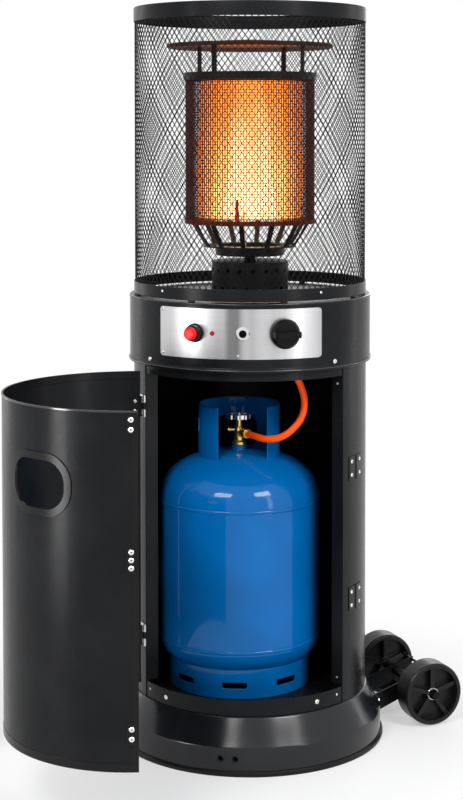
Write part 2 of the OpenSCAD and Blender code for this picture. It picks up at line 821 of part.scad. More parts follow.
module bottle_collar() {
    window_w = 84;
    window_h = 62;
    color("#0b57a8") at_bottle() difference() {
        union() {
            arc_wall(collar_r - collar_t, collar_r, upper_seam + 40, collar_top,
                collar_az + collar_open, collar_az + 360 - collar_open);
            arc_wall(collar_r - collar_t - 1, collar_r + 1, collar_top - 3, collar_top,
                collar_az + collar_open, collar_az + 360 - collar_open);
        }
        bottle_outside(fit);
        at_side(collar_az + 180, collar_r - 20, collar_top - 66) rounded_bar(window_w, window_h, 20, 40);
        for (a = [-86, 86]) at_side(collar_az + a, collar_r - 20, collar_top - 40)
            rounded_bar(15, 30, 7, 40);
    }
}

module bottle_valve() {
    top = wheel_top_z - 12;
    color("#d19a2c") at_bottle() difference() {
        union() {
            translate([0, 0, upper_seam + upper_dome - 6]) cylinder(r = neck_bore_r, h = 30);
            translate([0, 0, bottle_neck_top + fit]) rotate_extrude() polygon([
                [0, 0], [14, 0], [14, 4], [12, 6], [9, 8], [8, 14], [9.5, 19], [9.5, 27], [8, 31],
                [6.5, 34], [6.5, top - bottle_neck_top], [0, top - bottle_neck_top]
            ]);
            rod([0, 0, outlet_z], [outlet_dir[0] * (outlet_len - 14), outlet_dir[1] * (outlet_len - 14), outlet_z], 6.5);
            rod([0, 0, outlet_z + 4], [-20, 0, outlet_z + 4], 3.5);
            rod([-16, 0, outlet_z + 4], [-21, 0, outlet_z + 4], 5);
        }
        translate([0, 0, bottle_neck_top + 26]) cylinder(r = spindle_r + running, h = 60);
    }
}

module hose_nut() {
    a = [bottle_x, bottle_y, outlet_z];
    d = [outlet_dir[0], outlet_dir[1], 0];
    color("#d9a941") {
        rod(a + (outlet_len - 14 + fit) * d, a + (outlet_len - 4) * d, 9);
        rod(a + (outlet_len - 4.5) * d, a + outlet_len * d, 7.4);
    }
}

module handwheel() {
    lobe_count = 8;
    rim_r = 21;
    color("#c7cacd") at_bottle() {
        translate([0, 0, bottle_neck_top + 28]) cylinder(r = spindle_r, h = wheel_top_z - bottle_neck_top - 26);
        difference() {
            union() {
                translate([0, 0, wheel_top_z - 9]) cylinder(r = rim_r, h = 8);
                for (i = [0:lobe_count - 1]) rotate([0, 0, i * 360 / lobe_count])
                    translate([rim_r - 2, 0, wheel_top_z - 9]) cylinder(r = 5, h = 8);
            }
            translate([0, 0, wheel_top_z - 4]) ring(8, 16, 0, 10);
        }
    }
}

// Smooth points through the hand-set route, then a tube of rings along them
function route_point(p, i, t) =
    let (n = len(p) - 1, a = p[max(i - 1, 0)], b = p[i], c = p[i + 1], d = p[min(i + 2, n)])
    0.5 * (2 * b + (c - a) * t + (2 * a - 5 * b + 4 * c - d) * t * t + (3 * b - a - 3 * c + d) * t * t * t);
function smooth_route(p, steps) = concat(
    [for (i = [0:len(p) - 2], k = [0:steps - 1]) route_point(p, i, k / steps)], [p[len(p) - 1]]);
function unit(v) = v / norm(v);

module gas_hose() {
    p = smooth_route(hose_route, hose_steps);
    last = len(p) - 1;
    along = [for (i = [0:last]) i == 0 ? unit(hose_route[1] - hose_route[0]) :
        i == last ? unit(inlet_dir) : unit(p[i + 1] - p[i - 1])];
    side_ref = [0.2, 0.9, 0.1];
    color("#f0581e") polyhedron(
        points = [for (i = [0:last]) let (u = unit(cross(along[i], side_ref)), v = cross(along[i], u))
            for (k = [0:hose_sides - 1])
                p[i] + hose_d / 2 * (cos(360 * k / hose_sides) * u + sin(360 * k / hose_sides) * v)],
        faces = concat(
            [[for (k = [0:hose_sides - 1]) k]],
            [for (i = [0:last - 1], k = [0:hose_sides - 1]) let (a = i * hose_sides + k,
                b = i * hose_sides + (k + 1) % hose_sides) each
                [[a, a + hose_sides, b], [b, a + hose_sides, b + hose_sides]]],
            [[for (k = [hose_sides - 1:-1:0]) last * hose_sides + k]]
        ), convexity = 6
    );
}

// The wheels' own frame: +X runs along the axle, away from the front wheel
module at_wheels() {
    rotate([0, 0, wheel_az]) translate([0, -axle_reach, axle_z]) children();
}

module along_axle(x0, x1, r) {
    translate([x0, 0, 0]) rotate([0, 90, 0]) cylinder(r = r, h = x1 - x0);
}

module wheel_bracket() {
    plate_z0 = edge_strip_h + 4;
    plate_z1 = skirt_h - 4;
    root_y = axle_reach - bracket_in - bracket_t;
    color("#1b1c1e") {
        arc_wall(bracket_in, bracket_in + bracket_t, plate_z0, plate_z1, wheel_az - bracket_half,
            wheel_az + bracket_half);
        at_wheels() {
            for (s = [-1, 1]) difference() {
                translate([s * arm_x - arm_t / 2, 0, 0]) {
                    rotate([90, 0, 90]) linear_extrude(arm_t) polygon([
                        [root_y + 5, plate_z0 - axle_z], [root_y + 5, plate_z1 - axle_z],
                        [0, sleeve_r + 5], [-38, sleeve_r + 15], [-38, sleeve_r + 7], [-8, -sleeve_r - 4]
                    ]);
                    rotate([0, 90, 0]) cylinder(r = sleeve_r + 5, h = arm_t);
                }
                along_axle(-100, 100, sleeve_r + running);
                rotate([0, 0, -wheel_az]) translate([0, 0, 0])
                    rotate([0, 0, wheel_az]) translate([0, axle_reach, -axle_z])
                        cylinder(r = bracket_in + tiny, h = 200);
            }
            translate([0, -34, sleeve_r + 11]) along_axle(-sleeve_half + 2, sleeve_half - 2, 2.5);
        }
    }
}

module bracket_bolts() {
    z = (edge_strip_h + skirt_h) / 2;
    color("#8f9398") for (a = [-11, -4, 4, 11])
        at_side(wheel_az + a, bracket_in + bracket_t, z + (abs(a) > 5 ? 8 : -8)) cylinder(r = 4.5, h = 3.5, $fn = 6);
}

module axle_sleeve() {
    color("#2a2b2e") at_wheels() difference() {
        along_axle(-sleeve_half, sleeve_half, sleeve_r);
        along_axle(-sleeve_half - 1, sleeve_half + 1, axle_r + running);
    }
}

module axle() {
    color("#a8abaf") at_wheels() along_axle(-axle_half, axle_half, axle_r);
}

module axle_caps() {
    cap_in = wheel_track / 2 + wheel_w / 2 - 6 + wheel_gap;
    color("#d5d7da") at_wheels() for (s = [-1, 1]) mirror([s < 0 ? 1 : 0, 0, 0]) difference() {
        translate([cap_in, 0, 0]) rotate([0, 90, 0]) rotate_extrude() polygon([
            [0, 0], [10, 0], [10, 3], [8.5, 6], [6.5, axle_half - cap_in + 2], [0, axle_half - cap_in + 2]]);
        translate([cap_in - 1, 0, 0]) rotate([0, 90, 0]) cylinder(r = axle_r + running, h = axle_half - cap_in + 1 + fit);
    }
}

// Moulded wheel: a rim with a groove on each side, a web, five spokes and a hub
module wheel(side) {
    rim_t = 9;
    half = wheel_w / 2;
    hub_r = 12;
    hub_half = half - 6;
    spoke_w = 8;
    color("#1a1b1d") at_wheels() translate([side * wheel_track / 2, 0, 0]) rotate([0, 90, 0]) difference() {
        union() {
            rotate_extrude() polygon([
                [wheel_r - rim_t, -half], [wheel_r - 2.5, -half], [wheel_r, -half + 3], [wheel_r, half - 3],
                [wheel_r - 2.5, half], [wheel_r - rim_t, half]
            ]);
            translate([0, 0, -2]) cylinder(r = wheel_r - rim_t + 1, h = 4);
            translate([0, 0, -hub_half]) cylinder(r = hub_r, h = 2 * hub_half);
            for (i = [0:4]) rotate([0, 0, 180 + 72 * i])
                translate([hub_r - 3, -spoke_w / 2, -half + 7]) cube([wheel_r - rim_t - hub_r + 4, spoke_w, wheel_w - 14]);
        }
        translate([0, 0, -wheel_w]) cylinder(r = axle_r + running, h = 2 * wheel_w);
    }
}

module front_wheel() {
    wheel(-1);
}

module rear_wheel() {
    wheel(1);
}

module door_panel() {
    hem_in = door_in - door_hem_t;
    edge_angle = 4;
    color("#2f3135") with_door() difference() {
        arc_wall(hem_in, door_out, door_bottom, door_top, door_start, door_end);
        arc_wall(hem_in - 1, door_in, door_bottom + door_hem_h, door_top - door_hem_h,
            door_start - 1, door_end - edge_angle);
        at_side(grip_az, door_in - 20, grip_z) rounded_bar(grip_w, grip_h, grip_corner, 40);
    }
}

module door_handle_trim() {
    lip_w = grip_w - 2 * fit;
    lip_h = grip_h - 2 * fit;
    outer_w = grip_w + 2 * grip_frame;
    outer_h = grip_h + 2 * grip_frame;
    color("#3a3c40") with_door() difference() {
        union() {
            intersection() {
                arc_wall(door_out + tiny, door_out + grip_proud, door_bottom, door_top, grip_az - 30, grip_az + 30);
                at_side(grip_az, door_in - 20, grip_z)
                    rounded_bar(outer_w, outer_h, grip_corner + grip_frame, 60);
            }
            intersection() {
                arc_wall(door_in - 1, door_out + grip_proud, door_bottom, door_top, grip_az - 30, grip_az + 30);
                at_side(grip_az, door_in - 20, grip_z) rounded_bar(lip_w, lip_h, grip_corner - fit, 60);
            }
        }
        at_side(grip_az, door_in - 40, grip_z)
            rounded_bar(lip_w - 2 * grip_lip, lip_h - 2 * grip_lip, grip_corner - fit - grip_lip, 80);
    }
}

module door_hinge_leaves() {
    third = hinge_h / 3;
    leaf_out = door_in - tiny;
    color("#232427") with_door() for (z = hinge_zs) difference() {
        union() {
            arc_wall(leaf_out - leaf_t, leaf_out, z - hinge_h / 2, z + hinge_h / 2, pin_az, pin_az + leaf_angle);
            at_pin(z - third / 2) cylinder(r = knuckle_r, h = third);
        }
        for (s = [-1, 1]) at_pin(z + s * third - third / 2 - (s > 0 ? fit : tiny))
            cylinder(r = knuckle_r + 0.5, h = third + fit + tiny);
        at_pin(z - hinge_h) cylinder(r = hinge_pin_r + running, h = 2 * hinge_h);
    }
}

module door_edge_plates() {
    color("#232427") with_door() for (i = [0:2])
        arc_wall(door_out + tiny, door_out + edge_plate_t, edge_plate_zs[i] - edge_plate_hs[i] / 2,
            edge_plate_zs[i] + edge_plate_hs[i] / 2, edge_plate_az - edge_plate_half, edge_plate_az + edge_plate_half);
}

module door_rivets() {
    color("#d5d7da") with_door() {
        for (i = [0:2], dz = edge_rivet_steps[i])
            at_side(edge_plate_az, door_out + edge_plate_t, edge_plate_zs[i] + dz) rivet_head();
        for (z = hinge_zs, dz = [-9, 9]) rotate([0, 0, pin_az + leaf_angle / 2 + 0.9])
            translate([0, -(door_in - tiny - leaf_t - rivet_seat), z + dz]) rotate([-90, 0, 0]) rivet_head(3, 1);
    }
}

base_plate();
base_trim();
base_skirt();
floor_plate();
lower_hoop();
cabinet_shell();
left_jamb();
right_jamb();
upper_hoop();
side_plates();
frame_hinge_leaves();
hinge_pins();
frame_rivets();
control_drum();
control_panel();
panel_screws();
igniter_collar();
status_lamp();
sight_socket();
gas_valve();
supply_pipe();
igniter_box();
tilt_switch();
deck_plate();
guard_lower_ring();
guard_mesh();
guard_top_ring();
guard_screws();
burner_pedestal();
burner_tube();
burner_cage();
emitter_hoop();
emitter();
emitter_collar();
reflector_posts();
reflector_disc();
electrode();
bottle();
bottle_foot();
bottle_collar();
bottle_valve();
hose_nut();
gas_hose();
wheel_bracket();
bracket_bolts();
axle_sleeve();
axle();
axle_caps();
door_panel();
door_handle_trim();
door_hinge_leaves();
door_edge_plates();
door_rivets();
knob();
valve_stem();
push_collar();
igniter_cap();
handwheel();
front_wheel();
rear_wheel();
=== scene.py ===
"""Studio scene of a gas patio heater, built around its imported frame.

Each sub-assembly is a class. Its fields hold the sizes that its looks need, and its
methods model the pieces that the frame leaves plain and dress the ones that it shapes.
Lengths are in metres and angles in degrees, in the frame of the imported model: +Z is up,
-Y is the front, and a turn round the heater counts from the front towards the right.
"""

from __future__ import annotations

import functools
import json
import logging
import math
from dataclasses import dataclass, field
from enum import Enum
from typing import Any, Callable, Mapping, Sequence

import bpy
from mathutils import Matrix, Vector

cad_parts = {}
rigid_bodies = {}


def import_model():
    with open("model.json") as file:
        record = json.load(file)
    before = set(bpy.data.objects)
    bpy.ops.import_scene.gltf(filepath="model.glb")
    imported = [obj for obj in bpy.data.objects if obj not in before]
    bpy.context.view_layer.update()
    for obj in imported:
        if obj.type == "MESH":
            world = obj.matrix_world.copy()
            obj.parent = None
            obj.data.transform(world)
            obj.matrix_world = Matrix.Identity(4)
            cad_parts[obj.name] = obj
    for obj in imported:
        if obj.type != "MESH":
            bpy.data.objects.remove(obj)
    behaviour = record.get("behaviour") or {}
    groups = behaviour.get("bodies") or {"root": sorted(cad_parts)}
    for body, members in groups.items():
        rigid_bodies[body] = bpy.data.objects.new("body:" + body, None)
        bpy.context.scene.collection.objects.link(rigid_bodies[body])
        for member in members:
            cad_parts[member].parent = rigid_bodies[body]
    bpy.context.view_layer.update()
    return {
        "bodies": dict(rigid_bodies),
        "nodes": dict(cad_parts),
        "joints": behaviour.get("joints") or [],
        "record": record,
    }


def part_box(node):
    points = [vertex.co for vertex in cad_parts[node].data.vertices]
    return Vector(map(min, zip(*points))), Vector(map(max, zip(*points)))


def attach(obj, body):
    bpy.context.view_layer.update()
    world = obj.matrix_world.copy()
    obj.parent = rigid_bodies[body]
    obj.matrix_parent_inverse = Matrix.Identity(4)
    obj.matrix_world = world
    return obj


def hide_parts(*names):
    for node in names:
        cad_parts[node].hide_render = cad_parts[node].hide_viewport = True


log = logging.getLogger("heater")

MM = 0.001
Piece = bpy.types.Object
Socket = bpy.types.NodeSocket
Colour = tuple[float, float, float]
Spot = tuple[float, float, float]
Pair = tuple[float, float]
Span = Pair
Profile = Sequence[Pair]


class Body(Enum):
    """The rigid bodies that new pieces ride on."""

    HEATER = "heater"
    DOOR = "door"
    KNOB = "knob"
    IGNITER = "igniter"
    HANDWHEEL = "handwheel"
    FRONT_WHEEL = "front_wheel"
    REAR_WHEEL = "rear_wheel"


class Value:
    """A number in a node tree. Its operators add Math nodes."""

    def __init__(self, nodes: "Nodes", socket: Socket) -> None:
        """Wrap an output socket of a tree."""
        self.nodes = nodes
        self.socket = socket

    def _math(self, operation: str, first: "Number", second: "Number" = 0.0) -> "Value":
        """Add one Math node and return its result."""
        return self.nodes.value("ShaderNodeMath", {"operation": operation}, {0: first, 1: second})

    def __add__(self, other: "Number") -> "Value":
        """Return the sum."""
        return self._math("ADD", self, other)

    __radd__ = __add__

    def __sub__(self, other: "Number") -> "Value":
        """Return the difference."""
        return self._math("SUBTRACT", self, other)

    def __rsub__(self, other: "Number") -> "Value":
        """Return the difference."""
        return self._math("SUBTRACT", other, self)

    def __mul__(self, other: "Number") -> "Value":
        """Return the product."""
        return self._math("MULTIPLY", self, other)

    __rmul__ = __mul__

    def __truediv__(self, other: "Number") -> "Value":
        """Return the quotient."""
        return self._math("DIVIDE", self, other)

    def __pow__(self, other: "Number") -> "Value":
        """Return the power."""
        return self._math("POWER", self, other)

    def size(self) -> "Value":
        """Return the number without its sign."""
        return self._math("ABSOLUTE", self)

    def least(self, other: "Number") -> "Value":
        """Return the smaller of two numbers."""
        return self._math("MINIMUM", self, other)

    def most(self, other: "Number") -> "Value":
        """Return the larger of two numbers."""
        return self._math("MAXIMUM", self, other)

    def angle_to(self, other: "Number") -> "Value":
        """Return the angle whose tangent is this number over the other."""
        return self._math("ARCTAN2", self, other)

    def ramp(self, low: float, high: float) -> "Value":
        """Return 0 below low, 1 above high and a smooth step in between."""
        settings = {"interpolation_type": "SMOOTHSTEP"}
        return self.nodes.value("ShaderNodeMapRange", settings, {0: self, 1: low, 2: high})


Number = float | Value


def shade(colour: Colour, share: float, lift: float = 0.0) -> Colour:
    """Return a darker or lighter shade of a colour."""
    return tuple(share * part + lift for part in colour)


def from_axis(x: Value, y: Value) -> Value:
    """Return the distance from an upright axis."""
    return (x * x + y * y) ** 0.5


class Nodes:
    """A node tree and the one way in which its nodes are added."""

    def __init__(self, tree: bpy.types.NodeTree) -> None:
        """Work on a tree."""
        self.tree = tree

    def plug(self, socket: Socket, entry: Any) -> None:
        """Link a value or a socket, or set a plain number or colour.

        Args:
            socket: the input socket.
            entry: what goes into it.
        """
        if isinstance(entry, Value):
            entry = entry.socket
        if isinstance(entry, Socket):
            self.tree.links.new(entry, socket)
        elif isinstance(entry, tuple) and len(entry) == 3 and len(socket.default_value) == 4:
            socket.default_value = (*entry, 1.0)
        else:
            socket.default_value = entry

    def node(self, kind: str, settings: Mapping[str, Any], inputs: Mapping[Any, Any]) -> bpy.types.Node:
        """Add a node.

        Args:
            kind: the node's type.
            settings: its properties.
            inputs: the values or links of its sockets.

        Returns:
            The node.
        """
        made = self.tree.nodes.new(kind)
        for key, setting in settings.items():
            setattr(made, key, setting)
        for key, entry in inputs.items():
            self.plug(made.inputs[key], entry)
        return made

    def value(self, kind: str, settings: Mapping[str, Any], inputs: Mapping[Any, Any]) -> Value:
        """Add a node and return its first output as a value."""
        return Value(self, self.node(kind, settings, inputs).outputs[0])

    def rays(self, *kinds: str) -> Value:
        """Tell the rays of some kinds from all others.

        Args:
            kinds: the kinds, in the Light Path node's words.

        Returns:
            1 on a ray of one of the kinds, and 0 on any other.
        """
        path = self.node("ShaderNodeLightPath", {}, {})
        found = [Value(self, path.outputs[f"Is {kind} Ray"]) for kind in kinds]
        return functools.reduce(Value.most, found)


class Shader(Nodes):
    """A material with a Principled surface."""

    def __init__(self, name: str) -> None:
        """Start a plain material.

        Args:
            name: the material's name.
        """
        self.material = bpy.data.materials.new(name)
        self.material.use_nodes = True
        super().__init__(self.material.node_tree)
        self.surface = self.tree.nodes["Principled BSDF"]

    def coordinates(self, kind: str = "Object") -> Socket:
        """Return the surface's coordinates, or its normal with the kind Normal."""
        return self.node("ShaderNodeTexCoord", {}, {}).outputs[kind]

    def axes(self, kind: str = "Object") -> tuple[Value, Value, Value]:
        """Return the three parts of the surface's coordinates or normal."""
        parts = self.node("ShaderNodeSeparateXYZ", {}, {0: self.coordinates(kind)}).outputs
        return Value(self, parts[0]), Value(self, parts[1]), Value(self, parts[2])

    def join(self, x: Number, y: Number, z: Number) -> Socket:
        """Return three values as a vector."""
        return self.node("ShaderNodeCombineXYZ", {}, {0: x, 1: y, 2: z}).outputs[0]

    def noise(self, scale: float, detail: float = 2.0, vector: Any = None, rough: float = 0.5) -> Value:
        """Add a noise.

        Args:
            scale: how many waves it has in a metre.
            detail: how many finer waves lie on the first.
            vector: where it is read, or None for the Object coordinates.
            rough: how strong the finer waves are.

        Returns:
            The noise, of about 0 to 1.
        """
        where = self.coordinates() if vector is None else vector
        inputs = {"Vector": where, "Scale": scale, "Detail": detail, "Roughness": rough}
        return self.value("ShaderNodeTexNoise", {}, inputs)

    def mix(self, share: Number, first: Any, second: Any) -> Socket:
        """Return a mix of two colours."""
        return self.node("ShaderNodeMix", {"data_type": "RGBA"}, {0: share, 6: first, 7: second}).outputs[2]

    def bump(self, height: Value, distance: float, strength: float = 1.0) -> None:
        """Feed the surface's normal from a height."""
        inputs = {"Height": height, "Distance": distance, "Strength": strength}
        self.set(Normal=self.node("ShaderNodeBump", {}, inputs).outputs[0])

    def set(self, **inputs: Any) -> None:
        """Set sockets of the surface, with _ for a space in a name."""
        for key, entry in inputs.items():
            self.plug(self.surface.inputs[key.replace("_", " ")], entry)


@dataclass(frozen=True)
class PowderCoat:
    """Baked powder paint: satin, a little grainy, and a shade uneven."""

    colour: Colour
    rough: float
    gloss: float
    grain: float = 0.000014

    def apply(self, shader: Shader) -> None:
        """Paint a surface.

        Args:
            shader: the surface's shader.
        """
        cloud = shader.noise(scale=9.0, detail=3.0)
        smudge = shader.noise(scale=38.0, detail=4.0)
        shader.set(
            Base_Color=shader.mix(cloud.ramp(0.35, 0.7), self.colour, shade(self.colour, 1.4, 0.0004)),
            Roughness=self.rough + 0.10 * (smudge - 0.5),
            Specular_IOR_Level=self.gloss,
        )
        shader.bump(shader.noise(scale=1100.0), self.grain)


@dataclass(frozen=True)
class Lacquer:
    """Glossy lacquer with a clear coat and a faint orange peel."""

    colour: Colour
    rough: float = 0.34
    coat: float = 0.42

    def apply(self, shader: Shader) -> None:
        """Paint a surface.

        Args:
            shader: the surface's shader.
        """
        cloud = shader.noise(scale=7.0)
        scuff = shader.noise(scale=60.0, detail=5.0)
        shader.set(
            Base_Color=shader.mix(cloud.ramp(0.3, 0.75), self.colour, shade(self.colour, 0.80)),
            Roughness=self.rough + 0.12 * scuff.ramp(0.55, 0.8),
            Specular_IOR_Level=0.03,
            Coat_Weight=self.coat,
            Coat_Roughness=0.06,
        )
        shader.bump(shader.noise(scale=160.0, detail=1.0), 0.00005)


@dataclass(frozen=True)
class Metal:
    """Bare metal, smooth or cast."""

    colour: Colour
    rough: float
    cast: float = 0.0

    def apply(self, shader: Shader) -> None:
        """Paint a surface.

        Args:
            shader: the surface's shader.
        """
        tarnish = shader.noise(scale=24.0, detail=3.0)
        wear = shader.noise(scale=90.0, detail=3.0)
        shader.set(
            Metallic=1.0,
            Base_Color=shader.mix(tarnish.ramp(0.3, 0.75), self.colour, shade(self.colour, 0.82)),
            Roughness=self.rough + 0.14 * (wear - 0.5),
        )
        if self.cast:
            shader.bump(shader.noise(scale=520.0), self.cast)


@dataclass(frozen=True)
class BrushedSheet:
    """Metal sheet that is brushed round the heater, with one upright streak of painted dark reflection."""

    colour: Colour
    rough: float
    painted_reflection_turn: float

    def apply(self, shader: Shader) -> None:
        """Paint a surface.

        Args:
            shader: the surface's shader.
        """
        x, y, z = shader.axes()
        turn = x.angle_to(0.0 - y)
        along, across = 3.0, 900.0
        lines = shader.noise(scale=1.0, vector=shader.join(turn * along, z * across, 0.0))
        brushed = shader.mix(0.5 + 0.5 * lines.ramp(0.25, 0.8), shade(self.colour, 0.82), self.colour)
        haze = shader.noise(scale=1.0, vector=shader.join(turn * 9.0, z * 0.8, 3.0))
        # Painted reflection: a dark upright streak at a fixed turn near the front darkens the colour; a
        # faint random haze also varies the tone.
        off_reflection = (turn - math.radians(self.painted_reflection_turn)).size()
        painted_streak_and_haze = 0.72 * (1.0 - off_reflection.ramp(0.02, 0.10)) + 0.26 * haze.ramp(0.35, 0.75)
        shader.set(
            Metallic=1.0,
            Base_Color=shader.mix(painted_streak_and_haze, brushed, shade(self.colour, 0.20)),
            Roughness=self.rough + 0.05 * (lines - 0.5),
        )
        shader.bump(lines, 0.000008, 0.3)


@dataclass(frozen=True)
class Moulded:
    """Moulded plastic, rubber or ceramic."""

    colour: Colour
    rough: float
    gloss: float
    coat: float = 0.0
    grain: float = 0.00003

    def apply(self, shader: Shader) -> None:
        """Paint a surface.

        Args:
            shader: the surface's shader.
        """
        cloud = shader.noise(scale=30.0, detail=3.0)
        wear = shader.noise(scale=120.0)
        shader.set(
            Base_Color=shader.mix(cloud.ramp(0.35, 0.75), self.colour, shade(self.colour, 1.25, 0.0004)),
            Roughness=self.rough + 0.10 * (wear - 0.5),
            Specular_IOR_Level=self.gloss,
            Coat_Weight=self.coat,
            Coat_Roughness=0.08,
        )
        shader.bump(shader.noise(scale=700.0), self.grain)


@dataclass(frozen=True)
class GlowSheet:
    """Steel that glows towards the heater's axis: the glow of hot steel, and on the reflector and the
    emitter hoop also painted light from the flames.

    It glows fully up to the radius near, and no more from the radius far. Its upper side has the share top
    of the glow, so that the side away from the flames is painted in shade.
    """

    cool: Colour
    glow_colour: Colour
    strength: float
    near: float
    far: float
    gloss: float = 0.06
    top: float = 1.0

    def apply(self, shader: Shader) -> None:
        """Paint a surface.

        Args:
            shader: the surface's shader.
        """
        x, y, _ = shader.axes()
        # Painted light: this emission stands for the glow of hot steel and, on the reflector and hoop, for
        # flame light falling on the surface.
        glow_and_painted_light = 1.0 - from_axis(x, y).ramp(self.near, self.far)
        # Painted shade: surfaces that face up keep only the share top of the glow.
        if self.top < 1.0:
            upward = shader.axes("Normal")[2].ramp(-0.2, 0.2)
            glow_and_painted_light = glow_and_painted_light * (1.0 - (1.0 - self.top) * upward)
        mottle = shader.noise(scale=26.0, detail=3.0).ramp(0.2, 0.8)
        shader.set(
            Base_Color=shader.mix(mottle, shade(self.cool, 0.5), self.cool),
            Specular_IOR_Level=self.gloss,
            Roughness=0.45 + 0.12 * (mottle - 0.5),
            Emission_Color=shader.mix(glow_and_painted_light * (0.55 + 0.45 * mottle), (0.0, 0.0, 0.0), self.glow_colour),
            Emission_Strength=self.strength,
        )


@dataclass(frozen=True)
class Flame:
    """A veil of burning gas, with one colour low down and one high up."""

    low: Colour
    high: Colour
    strength: float
    thickness: float

    def apply(self, shader: Shader, span: Span) -> None:
        """Paint a veil.

        Args:
            shader: the veil's shader.
            span: the veil's lowest and highest height.
        """
        bottom, top = span
        x, y, z = shader.axes()
        rise = (z - bottom) / (top - bottom)
        lick = shader.noise(1.0, 3.0, shader.join(x * 26.0, y * 26.0, z * 9.0), 0.6)
        shader.set(
            Base_Color=(0.0, 0.0, 0.0),
            Specular_IOR_Level=0.0,
            Emission_Color=shader.mix((rise + 0.5 * (lick - 0.5)).ramp(0.0, 1.0), self.low, self.high),
            Emission_Strength=self.strength,
            Alpha=(self.thickness * (0.7 + 0.6 * lick)).least(1.0),
        )


class Finish(Enum):
    """Each finish of the heater: the record's slot, and its recipe."""

    BLACK_COAT = ("black_coat", PowderCoat((0.0055, 0.0059, 0.0068), rough=0.27, gloss=0.12))
    BASE_COAT = ("black_coat", PowderCoat((0.0056, 0.0062, 0.0078), rough=0.20, gloss=0.38))
    # The net's black coat is made darker than the rest: painted shade on the thin wires.
    GUARD_SHADED_BLACK = ("black_coat", PowderCoat((0.0030, 0.0030, 0.0034), rough=0.42, gloss=0.07))
    HINGE_BLACK = ("hinge_black", PowderCoat((0.0030, 0.0030, 0.0034), rough=0.26, gloss=0.20))
    ROLLED_EDGE = ("hinge_black", PowderCoat((0.0040, 0.0040, 0.0045), rough=0.16, gloss=0.80))
    BURNER_BLACK = ("burner_black", PowderCoat((0.0030, 0.0030, 0.0032), rough=0.40, gloss=0.12))
    # The panel's dark upright streak is a painted reflection.
    BRUSHED_PANEL = ("brushed_panel", BrushedSheet((0.60, 0.60, 0.61), rough=0.33, painted_reflection_turn=-1.7))
    DECK_METAL = ("deck_metal", Metal((0.42, 0.43, 0.45), rough=0.42, cast=0.00002))
    RIVET_METAL = ("rivet_metal", Metal((0.90, 0.91, 0.92), rough=0.30))
    CHROME_TRIM = ("chrome_trim", Metal((0.80, 0.81, 0.82), rough=0.14))
    PIN_STEEL = ("pin_steel", Metal((0.60, 0.61, 0.62), rough=0.26))
    BRASS = ("brass", Metal((0.98, 0.66, 0.16), rough=0.30))
    COPPER = ("copper_pipe", Metal((0.62, 0.30, 0.17), rough=0.30))
    HANDWHEEL = ("handwheel_grey", Metal((0.74, 0.75, 0.77), rough=0.30, cast=0.00003))
    # The emitter hoop's glow is partly heat and partly painted light from the flames.
    TUBE_STEEL = (
        "tube_steel",
        GlowSheet((0.040, 0.012, 0.007), (0.95, 0.11, 0.008), 0.75, near=0.08, far=0.135, gloss=0.02),
    )
    HOT_SPIKE = (
        "tube_steel",
        GlowSheet((0.050, 0.008, 0.004), (0.60, 0.035, 0.005), 0.9, near=0.12, far=0.20),
    )
    HOT_MESH = (
        "hot_mesh",
        GlowSheet((0.055, 0.028, 0.030), (0.80, 0.10, 0.02), 0.03, near=0.09, far=0.16, gloss=0.01),
    )
    # The reflector's glow is painted light from the flames below, brightest at the centre and weak on its
    # upper side.
    REFLECTOR_PAINTED_GLOW = (
        "reflector_steel",
        GlowSheet((0.055, 0.020, 0.010), (1.0, 0.17, 0.012), 1.6, near=0.03, far=0.12, gloss=0.02, top=0.12),
    )
    BOTTLE_BLUE = ("bottle_blue", Lacquer((0.0004, 0.125, 0.410)))
    CERAMIC = ("white_ceramic", Moulded((0.80, 0.77, 0.72), rough=0.30, gloss=0.5, coat=0.4))
    HOSE_ORANGE = ("hose_orange", Moulded((1.0, 0.085, 0.002), rough=0.30, gloss=0.1, coat=0.25))
    BLACK_PLASTIC = ("black_plastic", Moulded((0.0022, 0.0022, 0.0025), rough=0.30, gloss=0.13))
    EDGE_STRIP = ("edge_strip", Moulded((0.0030, 0.0030, 0.0034), rough=0.38, gloss=0.2))
    WHEEL_BLACK = ("wheel_black", Moulded((0.0050, 0.0050, 0.0055), rough=0.34, gloss=0.25))
    RED_PLASTIC = ("red_plastic", Moulded((0.80, 0.004, 0.003), 0.30, gloss=0.08, coat=0.12, grain=0.00001))
    LAMP_RED = ("lamp_red", Moulded((0.32, 0.002, 0.004), rough=0.30, gloss=0.1, coat=0.2, grain=0.0))

    @property
    def slot(self) -> str:
        """Return the record's material slot."""
        return self.value[0]

    @property
    def material(self) -> bpy.types.Material:
        """Find the material, or make it at its first use.

        Returns:
            The material. The slot's own name belongs to the frame's material.
        """
        name = f"{self.name.lower()}_finish"
        found = bpy.data.materials.get(name)
        if found is None:
            shader = Shader(name)
            self.value[1].apply(shader)
            found = shader.material
        return found


def clear() -> None:
    """Deselect every object."""
    bpy.ops.object.select_all(action="DESELECT")


def hold(piece: Piece) -> None:
    """Make a piece the only selected and the active one.

    Args:
        piece: the piece.
    """
    clear()
    piece.select_set(True)
    bpy.context.view_layer.objects.active = piece


def edit(piece: Piece, kind: str = "FACE") -> None:
    """Open a piece in edit mode with nothing selected.

    Args:
        piece: the piece.
        kind: what is selected from now on: VERT, EDGE or FACE.
    """
    hold(piece)
    bpy.ops.object.mode_set(mode="EDIT")
    bpy.ops.mesh.select_mode(type=kind)
    bpy.ops.mesh.select_all(action="DESELECT")


